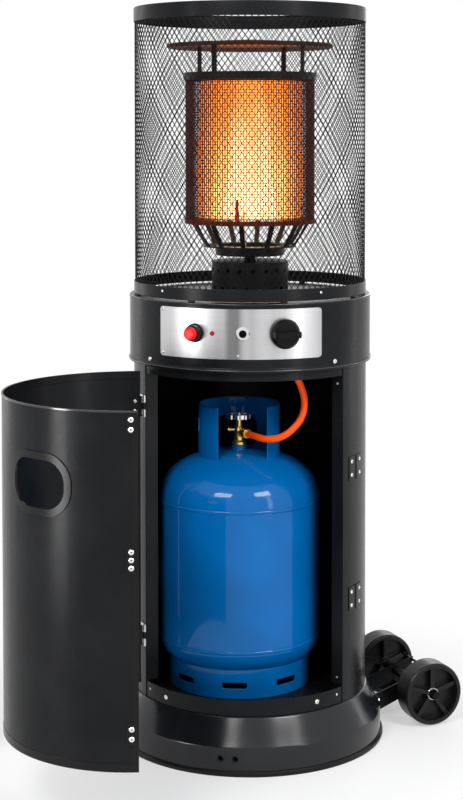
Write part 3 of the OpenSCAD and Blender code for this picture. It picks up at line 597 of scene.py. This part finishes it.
def pick(piece: Piece, parts: str, test: Callable[..., bool]) -> None:
    """Select the edges or faces whose corners pass a test.

    Args:
        piece: the piece, in edit mode.
        parts: edges or polygons.
        test: takes the corners of an edge or a face.
    """
    bpy.ops.mesh.select_all(action="DESELECT")
    bpy.ops.object.mode_set(mode="OBJECT")
    spots = [vertex.co for vertex in piece.data.vertices]
    for part in getattr(piece.data, parts):
        part.select = test(*(spots[corner] for corner in part.vertices))
    bpy.ops.object.mode_set(mode="EDIT")


def modify(piece: Piece, kind: str, **settings: Any) -> None:
    """Add a modifier and apply it.

    Args:
        piece: the piece.
        kind: the modifier's type.
        settings: its properties.
    """
    hold(piece)
    modifier = piece.modifiers.new(kind.lower(), kind)
    for key, setting in settings.items():
        setattr(modifier, key, setting)
    bpy.ops.object.modifier_apply(modifier=modifier.name)


def bevel(piece: Piece, width: float, segments: int = 2, angle: float = 40.0) -> None:
    """Round a piece's edges that are sharper than an angle, over a width."""
    limit = math.radians(angle)
    modify(piece, "BEVEL", width=width, segments=segments, limit_method="ANGLE", angle_limit=limit)


def settle(piece: Piece) -> None:
    """Put the piece's place into its mesh."""
    hold(piece)
    bpy.ops.object.transform_apply(location=True, rotation=True, scale=True)


def lay(piece: Piece, angle: float, spot: Spot) -> None:
    """Turn a piece's upright axis to point level.

    Args:
        piece: the piece, turned about the vertical axis.
        angle: the way that its axis points then.
        spot: where its origin goes.
    """
    piece.rotation_euler = (math.pi / 2, 0, math.radians(angle))
    piece.location = spot
    settle(piece)


def stand_out(piece: Piece, angle: float, reach: float, height: float) -> None:
    """Lay a turned piece's axis outwards, with its zero height at a reach from the heater's axis."""
    turn = math.radians(angle)
    lay(piece, angle, (reach * math.sin(turn), -reach * math.cos(turn), height))


def smooth(piece: Piece, angle: float) -> None:
    """Shade smooth up to an angle.

    Args:
        piece: the piece.
        angle: the least angle of an edge that stays sharp.
    """
    hold(piece)
    bpy.ops.object.shade_smooth_by_angle(angle=math.radians(angle))
    modify(piece, "WEIGHTED_NORMAL", keep_sharp=True, weight=60)


def lathe(name: str, profile: Profile, steps: int, centre: Pair = (0.0, 0.0)) -> Piece:
    """Turn a closed profile of (radius, height) points about a vertical axis.

    Args:
        name: the piece's name.
        profile: its outline; a radius of 0 closes that end with a point.
        steps: faces round the turn.
        centre: where the axis stands.

    Returns:
        The turned piece, with its normals outwards.
    """
    clear()
    pole, merge = 1e-6, 5e-6
    (last_radius, last_height), *others = [(max(radius, pole), height) for radius, height in profile]
    bpy.ops.mesh.primitive_circle_add(vertices=steps, radius=last_radius, location=(0, 0, 0))
    piece = bpy.context.object
    piece.name = name
    bpy.ops.object.mode_set(mode="EDIT")
    bpy.ops.mesh.select_mode(type="EDGE")
    bpy.ops.mesh.select_all(action="SELECT")
    bpy.ops.transform.translate(value=(0, 0, last_height))
    for radius, height in others:
        move = {"value": (0, 0, height - last_height)}
        bpy.ops.mesh.extrude_edges_move(TRANSFORM_OT_translate=move)
        share = radius / last_radius
        bpy.ops.transform.resize(value=(share, share, 1), center_override=(0, 0, height))
        last_radius, last_height = radius, height
    bpy.ops.mesh.select_all(action="SELECT")
    bpy.ops.mesh.remove_doubles(threshold=merge)
    bpy.ops.mesh.normals_make_consistent(inside=False)
    bpy.ops.transform.translate(value=(*centre, 0))
    bpy.ops.object.mode_set(mode="OBJECT")
    return piece


def sheet_tube(name: str, radius: float, span: Span, columns: int, rows: int = 1) -> Piece:
    """Roll a sheet of even cells into an open tube.

    Args:
        name: the piece's name.
        radius: the tube's radius.
        span: its lowest and highest height.
        columns: cells round it.
        rows: cells up it.

    Returns:
        The tube, with no thickness yet.
    """
    clear()
    low, high = span
    middle = (0, 0, (low + high) / 2)
    bpy.ops.mesh.primitive_cylinder_add(
        vertices=columns, radius=radius, depth=high - low, end_fill_type="NOTHING", location=middle
    )
    tube = bpy.context.object
    tube.name = name
    settle(tube)
    if rows > 1:
        edit(tube, "EDGE")
        pick(tube, "edges", lambda first, second: abs(first.z - second.z) > (high - low) / 2)
        bpy.ops.mesh.subdivide(number_cuts=rows - 1)
        bpy.ops.object.mode_set(mode="OBJECT")
    return tube


def arc_strip(
    name: str, centre: Pair, radius: float, span: Span, arc: Span, thick: float
) -> Piece:
    """Roll a strip of sheet that lies on a curved sheet.

    Args:
        name: the piece's name.
        centre: the curved sheet's axis.
        radius: the strip's inner face.
        span: its lowest and highest height.
        arc: its first and last angle about the axis.
        thick: how thick it is.

    Returns:
        The strip, with rounded edges.
    """
    first, last = arc
    strip = sheet_tube(name, radius, span, columns=720)

    def outside(*corners: Vector) -> bool:
        """Tell a face beyond the arc."""
        middle = sum(corners, Vector())
        angle = math.degrees(math.atan2(middle.x, -middle.y))
        return (angle - first) % 360 > last - first

    edit(strip)
    pick(strip, "polygons", outside)
    bpy.ops.mesh.delete(type="FACE")
    bpy.ops.object.mode_set(mode="OBJECT")
    modify(strip, "SOLIDIFY", thickness=thick, offset=1.0)
    bevel(strip, 0.4 * thick)
    strip.location = (*centre, 0)
    settle(strip)
    return strip


def turn_to_diamonds(tube: Piece, span: Span, rows: int) -> None:
    """Recut a tube's square cells into diamonds about the old corners.

    Args:
        tube: a tube of square cells.
        span: its lowest and highest height.
        rows: how many cells it has up its height.
    """
    low, high = span
    step = (high - low) / rows
    edit(tube)
    bpy.ops.mesh.select_all(action="SELECT")
    bpy.ops.mesh.poke()

    def on_grid(spot: Vector) -> bool:
        """Tell a corner of the first grid from a poked middle."""
        level = (spot.z - low) / step
        return abs(level - round(level)) < 0.2

    def inner(first: Vector, second: Vector) -> bool:
        """Tell an inner edge of the first grid from a border edge."""
        flat = abs(first.z - second.z) < step / 4
        border = min(abs(first.z - low), abs(first.z - high)) < step / 4
        return on_grid(first) and on_grid(second) and not (flat and border)

    bpy.ops.mesh.select_mode(type="EDGE")
    pick(tube, "edges", inner)
    bpy.ops.mesh.dissolve_edges(use_verts=False)
    bpy.ops.object.mode_set(mode="OBJECT")


def pierce(tube: Piece, strand: float, thick: float) -> None:
    """Leave only the borders of a tube's cells, and give them a thickness.

    Args:
        tube: the tube.
        strand: how wide a border between two cells is.
        thick: how thick the sheet is.
    """
    edit(tube)
    bpy.ops.mesh.select_all(action="SELECT")
    bpy.ops.mesh.inset(thickness=strand / 2, use_individual=True, use_boundary=True)
    bpy.ops.mesh.delete(type="FACE")
    bpy.ops.object.mode_set(mode="OBJECT")
    modify(tube, "SOLIDIFY", thickness=thick, offset=0.0)


@dataclass
class Assembly:
    """What each sub-assembly of the heater shares."""

    frame: dict[str, Any]
    dressed: set[str] = field(default_factory=set)

    def dress(self, finish: Finish, *nodes: str) -> None:
        """Give nodes of the frame their finish.

        Args:
            finish: the finish.
            nodes: the nodes' names.
        """
        for name in nodes:
            node = self.frame["nodes"][name]
            node.data.materials.clear()
            node.data.materials.append(finish.material)
            self.dressed.add(name)

    def place(
        self, piece: Piece, finish: Finish, *nodes: str, body: Body = Body.HEATER, angle: float = 35.0
    ) -> None:
        """Finish a new piece and let it ride on its body.

        Args:
            piece: the piece, in its place.
            finish: its finish.
            nodes: the frame's nodes that it stands for.
            body: the body that it rides on.
            angle: its sharpest smooth edge.
        """
        if piece.type == "MESH":
            smooth(piece, angle)
        piece.data.materials.clear()
        piece.data.materials.append(finish.material)
        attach(piece, body.value)
        if nodes:
            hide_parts(*nodes)
        self.dressed.update(nodes)
        log.info("%s: %s on %s", piece.name, finish.slot, body.value)

    def soften(
        self, finish: Finish, node: str, name: str, width: float, body: Body = Body.HEATER,
        segments: int = 2,
    ) -> None:
        """Let a merged copy with rounded edges stand for a node of the frame.

        Args:
            finish: the copy's finish.
            node: the node's name.
            name: the copy's name.
            width: how far the rounding runs from an edge.
            body: the body that the copy rides on.
            segments: facets across the rounding.
        """
        piece = bpy.data.objects.new(name, self.frame["nodes"][node].data.copy())
        bpy.context.scene.collection.objects.link(piece)
        edit(piece, "VERT")
        bpy.ops.mesh.select_all(action="SELECT")
        bpy.ops.mesh.remove_doubles(threshold=4e-6)
        bpy.ops.object.mode_set(mode="OBJECT")
        bevel(piece, width, segments, angle=38.0)
        self.place(piece, finish, node, body=body)


@dataclass(frozen=True)
class SoftBox:
    """A rectangular lamp that faces the heater."""

    name: str
    spot: Spot
    size: Pair
    watts: float

    def hang(self, aim: Vector) -> None:
        """Hang the lamp.

        Args:
            aim: where it points.
        """
        clear()
        turn = (aim - Vector(self.spot)).to_track_quat("-Z", "Y").to_euler()
        bpy.ops.object.light_add(type="AREA", location=self.spot, rotation=turn)
        lamp = bpy.context.object
        lamp.name = self.name
        lamp.data.shape = "RECTANGLE"
        lamp.data.size, lamp.data.size_y = self.size
        lamp.data.energy = self.watts


@dataclass
class Studio:
    """Camera, lights and the pale ground."""

    distance: float = 3.281
    eye_height: float = 1.158
    heading: float = 5.4
    tilt: float = 2.5
    focal_pixels: float = 1720.0
    picture: tuple[int, int] = (463, 800)
    axis_pixel: float = 250.0
    horizon_pixel: float = 129.0
    sky_light: float = 0.40
    floor_radius: float = 14.0
    floor_middle: Pair = (-0.05, -0.1)
    floor_fade: Span = (0.30, 1.0)
    lamp_aim: Spot = (0.0, 0.0, 0.7)
    lamps: Sequence[SoftBox] = (
        SoftBox("left_strip", (-1.95, -1.65, 1.00), (0.26, 1.5), 4.8),
        SoftBox("left_low_box", (-1.75, -1.55, 0.32), (0.50, 0.6), 13.0),
        SoftBox("right_strip", (1.75, -1.55, 0.90), (0.26, 1.7), 6.5),
        SoftBox("left_high_box", (-0.95, -2.50, 2.50), (1.30, 0.75), 50.0),
        SoftBox("right_high_box", (1.80, -1.90, 2.50), (1.20, 0.75), 56.0),
        SoftBox("left_rim_strip", (-2.8, 1.9, 1.2), (0.20, 2.4), 4.0),
        SoftBox("right_rim_strip", (2.9, 1.7, 1.2), (0.20, 2.4), 5.0),
        SoftBox("back_softbox", (0.6, 3.1, 1.7), (0.9, 2.0), 12.0),
    )

    def build(self) -> None:
        """Set up all of the studio."""
        self.camera()
        self.sky()
        self.ground()
        for lamp in self.lamps:
            lamp.hang(Vector(self.lamp_aim))

    def camera(self) -> None:
        """Stand the camera where the photograph was taken."""
        turn, dip = math.radians(self.heading), math.radians(self.tilt)
        wide, high = self.picture
        spot = Vector((self.distance * math.sin(turn), -self.distance * math.cos(turn), self.eye_height))
        look = Vector((-math.sin(turn) * math.cos(dip), math.cos(turn) * math.cos(dip), -math.sin(dip)))
        bpy.ops.object.camera_add(location=spot, rotation=look.to_track_quat("-Z", "Y").to_euler())
        camera = bpy.context.object
        camera.name = "studio_camera"
        lens = camera.data
        lens.sensor_width = 36.0
        lens.lens = lens.sensor_width * self.focal_pixels / high
        lens.shift_x = (wide / 2 - self.axis_pixel) / high
        lens.shift_y = (self.horizon_pixel - high / 2 + self.focal_pixels * math.tan(dip)) / high
        lens.clip_end = 60.0
        bpy.context.scene.camera = camera

    def sky(self) -> None:
        """Make the surroundings white to the eye and milder as a light."""
        world = bpy.data.worlds.new("studio_world")
        bpy.context.scene.world = world
        world.use_nodes = True
        nodes = Nodes(world.node_tree)
        background = nodes.tree.nodes["Background"]
        seen = nodes.rays("Camera", "Glossy", "Transmission")
        nodes.plug(background.inputs["Color"], (1.0, 1.0, 1.0))
        nodes.plug(background.inputs["Strength"], self.sky_light + (1.0 - self.sky_light) * seen)

    def ground(self) -> None:
        """Lay a pale floor that keeps the shadow and fades into the surroundings."""
        clear()
        bpy.ops.mesh.primitive_circle_add(
            vertices=96, radius=self.floor_radius, fill_type="NGON", location=(0, 0, 0)
        )
        floor = bpy.context.object
        floor.name = "studio_floor"
        shader = Shader("studio_floor")
        shader.set(Base_Color=(0.90, 0.90, 0.90), Roughness=0.7, Specular_IOR_Level=0.1)
        x, y, _ = shader.axes()
        middle_x, middle_y = self.floor_middle
        far = from_axis(x - middle_x, y - middle_y).ramp(*self.floor_fade)
        fade = (0.38 + 0.62 * far) * shader.rays("Camera", "Glossy")
        glow = shader.node("ShaderNodeEmission", {}, {"Color": (1.0, 1.0, 1.0), "Strength": 1.0})
        inputs = {0: fade, 1: shader.surface.outputs[0], 2: glow.outputs[0]}
        blend = shader.node("ShaderNodeMixShader", {}, inputs)
        shader.plug(shader.tree.nodes["Material Output"].inputs[0], blend.outputs[0])
        floor.data.materials.append(shader.material)


@dataclass
class GasHose(Assembly):
    """The orange hose from the bottle's tap up to the gas valve."""

    route: Sequence[Spot] = (
        (1, -38, 579), (13, -54, 579), (26, -69, 578), (41, -81, 578), (58, -88, 581),
        (76, -90, 589), (91, -88, 602), (103, -84, 618), (109, -82, 638), (109, -84, 658),
        (105, -92, 677), (99, -104, 694), (92, -115, 709), (86, -125, 721),
        (80, -137, 733), (74, -149, 745),
    )
    diameter: float = 0.013
    length: float = 0.2955

    def build(self) -> None:
        """Sweep the hose along its route, which is in millimetres."""
        clear()
        line = bpy.data.curves.new("gas_hose_tube", "CURVE")
        line.dimensions = "3D"
        spline = line.splines.new("BEZIER")
        spline.bezier_points.add(len(self.route) - 1)
        for knot, spot in zip(spline.bezier_points, self.route):
            knot.co = tuple(MM * c for c in spot)
            knot.handle_left_type = knot.handle_right_type = "AUTO"
        line.bevel_depth = self.diameter / 2
        line.bevel_resolution = 6
        line.resolution_u = 8
        line.use_fill_caps = True
        hose = bpy.data.objects.new("gas_hose_tube", line)
        bpy.context.scene.collection.objects.link(hose)
        self.place(hose, Finish.HOSE_ORANGE, "gas_hose")


@dataclass
class Cabinet(Assembly):
    """Base, shell, posts and hinges."""

    hole_angles: Pair = (-6.8, -0.6)
    hole_height: float = 0.0312
    grommet: Profile = (
        (0.0034, -0.0022), (0.0034, 0.0004), (0.0040, 0.0010), (0.0052, 0.0010), (0.0060, 0.0004),
        (0.0060, -0.0002), (0.0035, -0.0002), (0.0035, -0.0022), (0.0034, -0.0022),
    )

    def build(self) -> None:
        """Round the sheet edges and dress the fasteners."""
        for node, name, width in (
            ("cabinet_shell", "shell_sheet", 0.0003), ("lower_hoop", "sill_band", 0.0003),
            ("upper_hoop", "header_band", 0.0003), ("left_jamb", "left_post", 0.0005),
            ("right_jamb", "right_post", 0.0005), ("floor_plate", "bottle_floor", 0.0003),
        ):
            self.soften(Finish.BLACK_COAT, node, name, width)
        self.soften(Finish.BASE_COAT, "base_skirt", "base_pressing", 0.0012)
        self.dress(Finish.BLACK_COAT, "base_plate")
        self.dress(Finish.EDGE_STRIP, "base_trim")
        self.dress(Finish.HINGE_BLACK, "side_plates")
        self.dress(Finish.PIN_STEEL, "frame_hinge_leaves", "hinge_pins")
        self.dress(Finish.RIVET_METAL, "frame_rivets")
        self.grommets()

    def grommets(self) -> None:
        """Press a black grommet into each of the skirt's two holes."""
        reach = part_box("base_skirt")[1].x
        for count, angle in enumerate(self.hole_angles, start=1):
            ring = lathe(f"skirt_grommet_{count}", self.grommet, steps=48)
            stand_out(ring, angle, reach, self.hole_height)
            self.place(ring, Finish.BLACK_PLASTIC)


@dataclass
class Door(Assembly):
    """The curved door with its grip hole, open at rest."""

    pin: Pair = (-0.185005, -0.128582)
    opened: float = 120.0
    arc: Span = (-173.4, 10.6)
    sheet_radius: float = 0.2270
    seat_gap: float = 0.00002
    hem: float = 0.014
    side_fold: float = 2.6
    fold_thick: float = 0.0005
    bead_height: float = 0.0030
    bead_thick: float = 0.0009
    bead_gap: float = 0.0002

    def build(self) -> None:
        """Round the door's edges and dress its fittings."""
        self.folds()
        self.soften(Finish.BLACK_COAT, "door_panel", "door_sheet", 0.0005, Body.DOOR)
        self.soften(
            Finish.HINGE_BLACK, "door_handle_trim", "door_grip_frame", 0.0012, Body.DOOR, segments=3
        )
        self.dress(Finish.HINGE_BLACK, "door_hinge_leaves", "door_edge_plates")
        self.dress(Finish.RIVET_METAL, "door_rivets")

    def axis(self) -> Pair:
        """Find the axis of the door's sheet while the door is open.

        Returns:
            The axis' place: the heater's own axis, turned about the hinge pins.
        """
        turn = math.radians(-self.opened)
        pin_x, pin_y = self.pin
        return (
            pin_x - pin_x * math.cos(turn) + pin_y * math.sin(turn),
            pin_y - pin_x * math.sin(turn) - pin_y * math.cos(turn),
        )

    def folds(self) -> None:
        """Lay the folded edges on the sheet."""
        low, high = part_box("door_panel")
        hem_top, bead_foot = low.z + self.hem, high.z - self.bead_height
        side_arc = (self.arc[1] - self.side_fold, self.arc[1])
        seat = self.sheet_radius + self.seat_gap
        fold, bead, black = self.fold_thick, self.bead_thick, Finish.HINGE_BLACK
        for name, span, arc, thick, finish in (
            ("door_lower_hem", (low.z, hem_top), self.arc, fold, black),
            ("door_upper_bead", (bead_foot, high.z), self.arc, bead, Finish.ROLLED_EDGE),
            ("door_side_fold", (hem_top, bead_foot - self.bead_gap), side_arc, fold, black),
        ):
            strip = arc_strip(name, self.axis(), seat, span, arc, thick)
            self.place(strip, finish, body=Body.DOOR)


@dataclass
class ControlDrum(Assembly):
    """The drum with the control panel, and what is on and in it."""

    socket_angle: float = 2.2
    # The black cup of painted shade in the sight socket, as (radius, height) points.
    sleeve: Profile = (
        (0.0, -0.014), (0.0069, -0.014), (0.0069, -0.0006), (0.0066, -0.0003), (0.0062, -0.0006),
        (0.0062, -0.012), (0.0, -0.012),
    )
    lower_inset: float = 0.0006
    lower_rise: float = 0.0040
    lower_roll: float = 0.0011
    upper_radius: float = 0.2288
    upper_roll: float = 0.0010

    def build(self) -> None:
        """Round the sheet edges and dress the controls."""
        # Painted shade: a black cup closes the sight socket's hole.
        self.socket_painted_shade()
        self.rolled_edges()
        self.soften(Finish.BLACK_COAT, "control_drum", "drum_wall", 0.0008)
        self.soften(Finish.BRUSHED_PANEL, "control_panel", "panel_sheet", 0.0003)
        self.soften(Finish.BLACK_PLASTIC, "knob", "gas_knob", 0.0009, Body.KNOB, segments=3)
        self.soften(Finish.RED_PLASTIC, "igniter_cap", "igniter_button", 0.0012, Body.IGNITER, segments=3)
        self.soften(Finish.BLACK_PLASTIC, "igniter_collar", "igniter_bezel", 0.0005)
        self.dress(Finish.DECK_METAL, "deck_plate")
        self.dress(Finish.CHROME_TRIM, "sight_socket")
        self.dress(Finish.LAMP_RED, "status_lamp")
        self.dress(Finish.PIN_STEEL, "panel_screws", "valve_stem", "push_collar")
        self.dress(Finish.BRASS, "gas_valve")
        self.dress(Finish.COPPER, "supply_pipe")
        self.dress(Finish.BLACK_PLASTIC, "igniter_box", "tilt_switch")

    def rolled_edges(self) -> None:
        """Roll a round bead along the drum's lower and upper edge."""
        low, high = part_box("control_drum")
        rows = (
            ("drum_lower_roll", high.x - self.lower_inset, low.z + self.lower_rise, self.lower_roll),
            ("drum_upper_roll", self.upper_radius, high.z - self.upper_roll, self.upper_roll),
        )
        turns = [math.radians(angle) for angle in range(0, 361, 45)]
        for name, radius, height, roll in rows:
            outline = [(radius + roll * math.cos(turn), height + roll * math.sin(turn)) for turn in turns]
            self.place(lathe(name, outline, steps=160), Finish.ROLLED_EDGE, angle=80.0)

    def socket_painted_shade(self) -> None:
        """Close the sight socket's hole with a black cup: painted shade inside the hole."""
        low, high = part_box("sight_socket")
        sleeve = lathe("socket_dark_sleeve", self.sleeve, steps=48)
        stand_out(sleeve, self.socket_angle, -low.y, (low.z + high.z) / 2)
        self.place(sleeve, Finish.BURNER_BLACK)


@dataclass
class Burner(Assembly):
    """Pedestal, cage, glowing emitter, and a reflector and hoop with painted flame light."""

    holes_round: int = 150
    hole_rows: int = 52
    web: float = 0.0010
    wall: float = 0.0020
    flame_gap: float = 0.002
    veils: Sequence[tuple[str, float, float, Flame]] = (
        ("flame_outer_veil", 0.098, 0.098, Flame((1.0, 0.24, 0.02), (0.85, 0.14, 0.012), 2.4, 0.60)),
        ("flame_middle_veil", 0.085, 0.083, Flame((1.0, 0.62, 0.12), (0.62, 0.16, 0.016), 3.1, 0.5)),
        ("flame_inner_veil", 0.070, 0.062, Flame((1.0, 0.86, 0.42), (0.50, 0.22, 0.032), 5.4, 0.5)),
        ("flame_heart", 0.052, 0.024, Flame((1.0, 0.94, 0.70), (0.40, 0.23, 0.05), 10.0, 2.0)),
    )
    spike_spot: Pair = (-0.0134, -0.1092)
    spike_outline: Profile = (
        (0.0, 0.0), (0.0046, 0.0), (0.0044, 0.012), (0.0030, 0.020), (0.0026, 0.034), (0.0012, 0.040),
        (0.0, 0.041),
    )

    def build(self) -> None:
        """Model the hot parts and dress the rest."""
        self.emitter()
        self.flames()
        self.spike()
        for node, name in (
            ("burner_pedestal", "pedestal_drum"), ("burner_tube", "mixing_tube"),
            ("burner_cage", "cage_and_ribs"), ("emitter_collar", "emitter_top_collar"),
            ("reflector_posts", "reflector_legs"),
        ):
            self.soften(Finish.BURNER_BLACK, node, name, 0.0004)
        # The hoop and the reflector glow partly with painted light from the flames.
        self.dress(Finish.TUBE_STEEL, "emitter_hoop")
        self.dress(Finish.REFLECTOR_PAINTED_GLOW, "reflector_disc")
        self.dress(Finish.CERAMIC, "electrode")

    def emitter(self) -> None:
        """Perforate the emitter's wall."""
        low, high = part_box("emitter")
        radius = high.x - self.wall / 2
        span = (low.z, high.z)
        wall = sheet_tube("emitter_perforated_wall", radius, span, self.holes_round, self.hole_rows)
        pierce(wall, self.web, self.wall)
        self.place(wall, Finish.HOT_MESH, "emitter", angle=20.0)

    def flames(self) -> None:
        """Stand nested veils of flame inside the emitter."""
        low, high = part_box("emitter")
        bottom, top = low.z + self.flame_gap, high.z - self.flame_gap
        third = (top - bottom) / 3
        for name, foot, head, flame in self.veils:
            waist = (foot + head) / 2
            outline = (
                (0, bottom), (foot, bottom), (1.04 * waist, bottom + third), (waist, top - third),
                (head, top), (0, top),
            )
            veil = lathe(name, outline, steps=64)
            shader = Shader(name)
            flame.apply(shader, (bottom, top))
            smooth(veil, 60.0)
            veil.data.materials.append(shader.material)
            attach(veil, Body.HEATER.value)
            log.info("%s: %s on %s", name, Finish.HOT_MESH.slot, Body.HEATER.value)

    def spike(self) -> None:
        """Stand the glowing flame spike on the hoop."""
        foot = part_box("emitter_hoop")[1].z
        outline = [(radius, foot + rise) for radius, rise in self.spike_outline]
        spike = lathe("flame_spike", outline, steps=32, centre=self.spike_spot)
        self.place(spike, Finish.HOT_SPIKE, angle=50.0)


@dataclass
class Guard(Assembly):
    """The wire guard round the burner."""

    columns: int = 114
    rows: int = 31
    strand: float = 0.00112
    thick: float = 0.0008
    band: float = 0.0015
    roll: float = 0.0004
    feet: int = 8
    first_foot: float = 21.5
    foot_size: Spot = (0.0116, 0.0058, 0.0030)
    foot_inset: float = 0.0028

    def build(self) -> None:
        """Make the net and the rings."""
        self.net()
        self.lower_ring()
        self.soften(Finish.BLACK_COAT, "guard_top_ring", "guard_top_band", 0.0006)
        self.dress(Finish.RIVET_METAL, "guard_screws")

    def lower_ring(self) -> None:
        """Turn the lower band and stand it on its feet."""
        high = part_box("guard_lower_ring")[1]
        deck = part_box("control_drum")[1].z
        outer, inner, roll = high.x, high.x - self.band, self.roll
        foot_height = self.foot_size[2]
        bottom, top = deck + foot_height, high.z
        outline = (
            (inner, bottom + roll), (inner + roll, bottom), (outer - roll, bottom), (outer, bottom + roll),
            (outer, top - 4 * roll), (outer + roll, top - 2 * roll), (outer, top), (inner, top),
            (inner, bottom + roll),
        )
        band = lathe("guard_lower_band", outline, steps=160)
        self.place(band, Finish.BLACK_COAT, "guard_lower_ring")
        for count in range(self.feet):
            clear()
            spot = (0, self.foot_inset - outer, deck + foot_height / 2)
            bpy.ops.mesh.primitive_cube_add(size=1, location=spot)
            block = bpy.context.object
            block.name = f"guard_foot_{count + 1}"
            block.scale = self.foot_size
            settle(block)
            modify(block, "BEVEL", width=roll, segments=2)
            block.rotation_euler = (0, 0, math.radians(360 / self.feet * count + self.first_foot))
            settle(block)
            self.place(block, Finish.BLACK_COAT)

    def net(self) -> None:
        """Stand the net between the rings."""
        low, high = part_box("guard_mesh")
        span = (low.z, high.z)
        net = sheet_tube("guard_wire_net", high.x - self.thick / 2, span, self.columns, self.rows)
        turn_to_diamonds(net, span, self.rows)
        pierce(net, self.strand, self.thick)
        # The net wears the darker black coat, which paints shade on the wires.
        self.place(net, Finish.GUARD_SHADED_BLACK, "guard_mesh", angle=20.0)


@dataclass
class Bottle(Assembly):
    """The gas bottle with its foot ring, collar and tap."""

    centre: Pair = (-0.020, -0.010)
    skin: float = 0.0007
    lower_seam: float = 0.075
    upper_seam: float = 0.101
    dome_rise: float = 0.090
    dome_power: float = 0.88
    weld_bead: Profile = (
        (0.0, -0.0046), (-0.0004, -0.0034), (0.0010, -0.0022), (0.0015, 0.0), (0.0010, 0.0022),
        (-0.0004, 0.0034), (0.0, 0.0046),
    )
    neck: Profile = (
        (0.0150, -0.0105), (0.0140, -0.0085), (0.0140, -0.0008), (0.0132, 0.0), (0.0101, 0.0),
        (0.0101, -0.020), (0.0, -0.020),
    )

    def build(self) -> None:
        """Turn the bottle's shell and dress the rest."""
        self.shell()
        self.soften(Finish.BOTTLE_BLUE, "bottle_foot", "bottle_foot_ring", 0.0009)
        self.soften(Finish.BOTTLE_BLUE, "bottle_collar", "bottle_guard_collar", 0.0009)
        self.soften(Finish.HANDWHEEL, "handwheel", "tap_handwheel", 0.0009, Body.HANDWHEEL)
        self.dress(Finish.BRASS, "bottle_valve", "hose_nut")

    def shell(self) -> None:
        """Turn the pressed halves with their weld beads."""
        low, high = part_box("bottle")
        radius = (high.x - low.x) / 2 - self.skin
        lower, upper, power = low.z + self.lower_seam, high.z - self.upper_seam, self.dome_power
        profile: list[Pair] = [(0.0, low.z)]
        for angle in range(5, 90, 5):
            turn = math.radians(angle)
            profile.append((radius * math.sin(turn), lower - self.lower_seam * math.cos(turn)))
        for seam in (lower, upper):
            profile += [(radius + out, seam + rise) for out, rise in self.weld_bead]
        for angle in range(4, 85, 4):
            turn = math.radians(angle)
            rise = self.dome_rise * math.sin(turn) ** power
            profile.append((radius * math.cos(turn) ** power, upper + rise))
        profile += [(reach, high.z + rise) for reach, rise in self.neck]
        shell = lathe("bottle_shell", profile, steps=160, centre=self.centre)
        self.place(shell, Finish.BOTTLE_BLUE, "bottle", angle=40.0)


@dataclass
class Wheels(Assembly):
    """The transport wheels on their axle and bracket."""

    heading: float = 27.4
    hub_half: float = 0.01602
    washer: Profile = (
        (0.0092, 0.0), (0.0118, 0.0), (0.0118, 0.0012), (0.0112, 0.0020), (0.0098, 0.0020),
        (0.0092, 0.0012), (0.0092, 0.0),
    )

    def build(self) -> None:
        """Round the moulded wheels and dress the steel."""
        for side, body in (("front", Body.FRONT_WHEEL), ("rear", Body.REAR_WHEEL)):
            self.soften(Finish.WHEEL_BLACK, f"{side}_wheel", f"{side}_tyre", 0.0012, body, segments=3)
        self.dress(Finish.BLACK_COAT, "wheel_bracket", "axle_sleeve")
        self.dress(Finish.PIN_STEEL, "bracket_bolts", "axle")
        self.dress(Finish.BLACK_PLASTIC, "axle_caps")
        self.hub_ring("front", Body.FRONT_WHEEL, self.heading)
        self.hub_ring("rear", Body.REAR_WHEEL, self.heading + 180.0)

    def hub_ring(self, side: str, body: Body, angle: float) -> None:
        """Press a bright washer onto a wheel's outer hub face.

        Args:
            side: the wheel's side, front or rear.
            body: the wheel's body.
            angle: the way that the hub face looks.
        """
        low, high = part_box(f"{side}_wheel")
        turn = math.radians(angle)
        out = Vector((math.sin(turn), -math.cos(turn), 0.0))
        ring = lathe(f"{side}_hub_ring", self.washer, steps=64)
        lay(ring, angle, tuple((low + high) / 2 + out * self.hub_half))
        self.place(ring, Finish.CHROME_TRIM, body=body)


def main() -> None:
    """Build the studio and every sub-assembly in order."""
    logging.basicConfig(level=logging.INFO, format="%(name)s %(message)s")
    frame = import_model()
    bpy.context.scene.view_settings.view_transform = "Standard"
    Studio().build()
    kinds = (GasHose, Cabinet, Door, ControlDrum, Burner, Guard, Bottle, Wheels)
    assemblies = [kind(frame) for kind in kinds]
    for assembly in assemblies:
        assembly.build()
    left = set(frame["nodes"]).difference(*(assembly.dressed for assembly in assemblies))
    if left:
        log.warning("undressed nodes: %s", sorted(left))


if __name__ == "__main__":
    main()
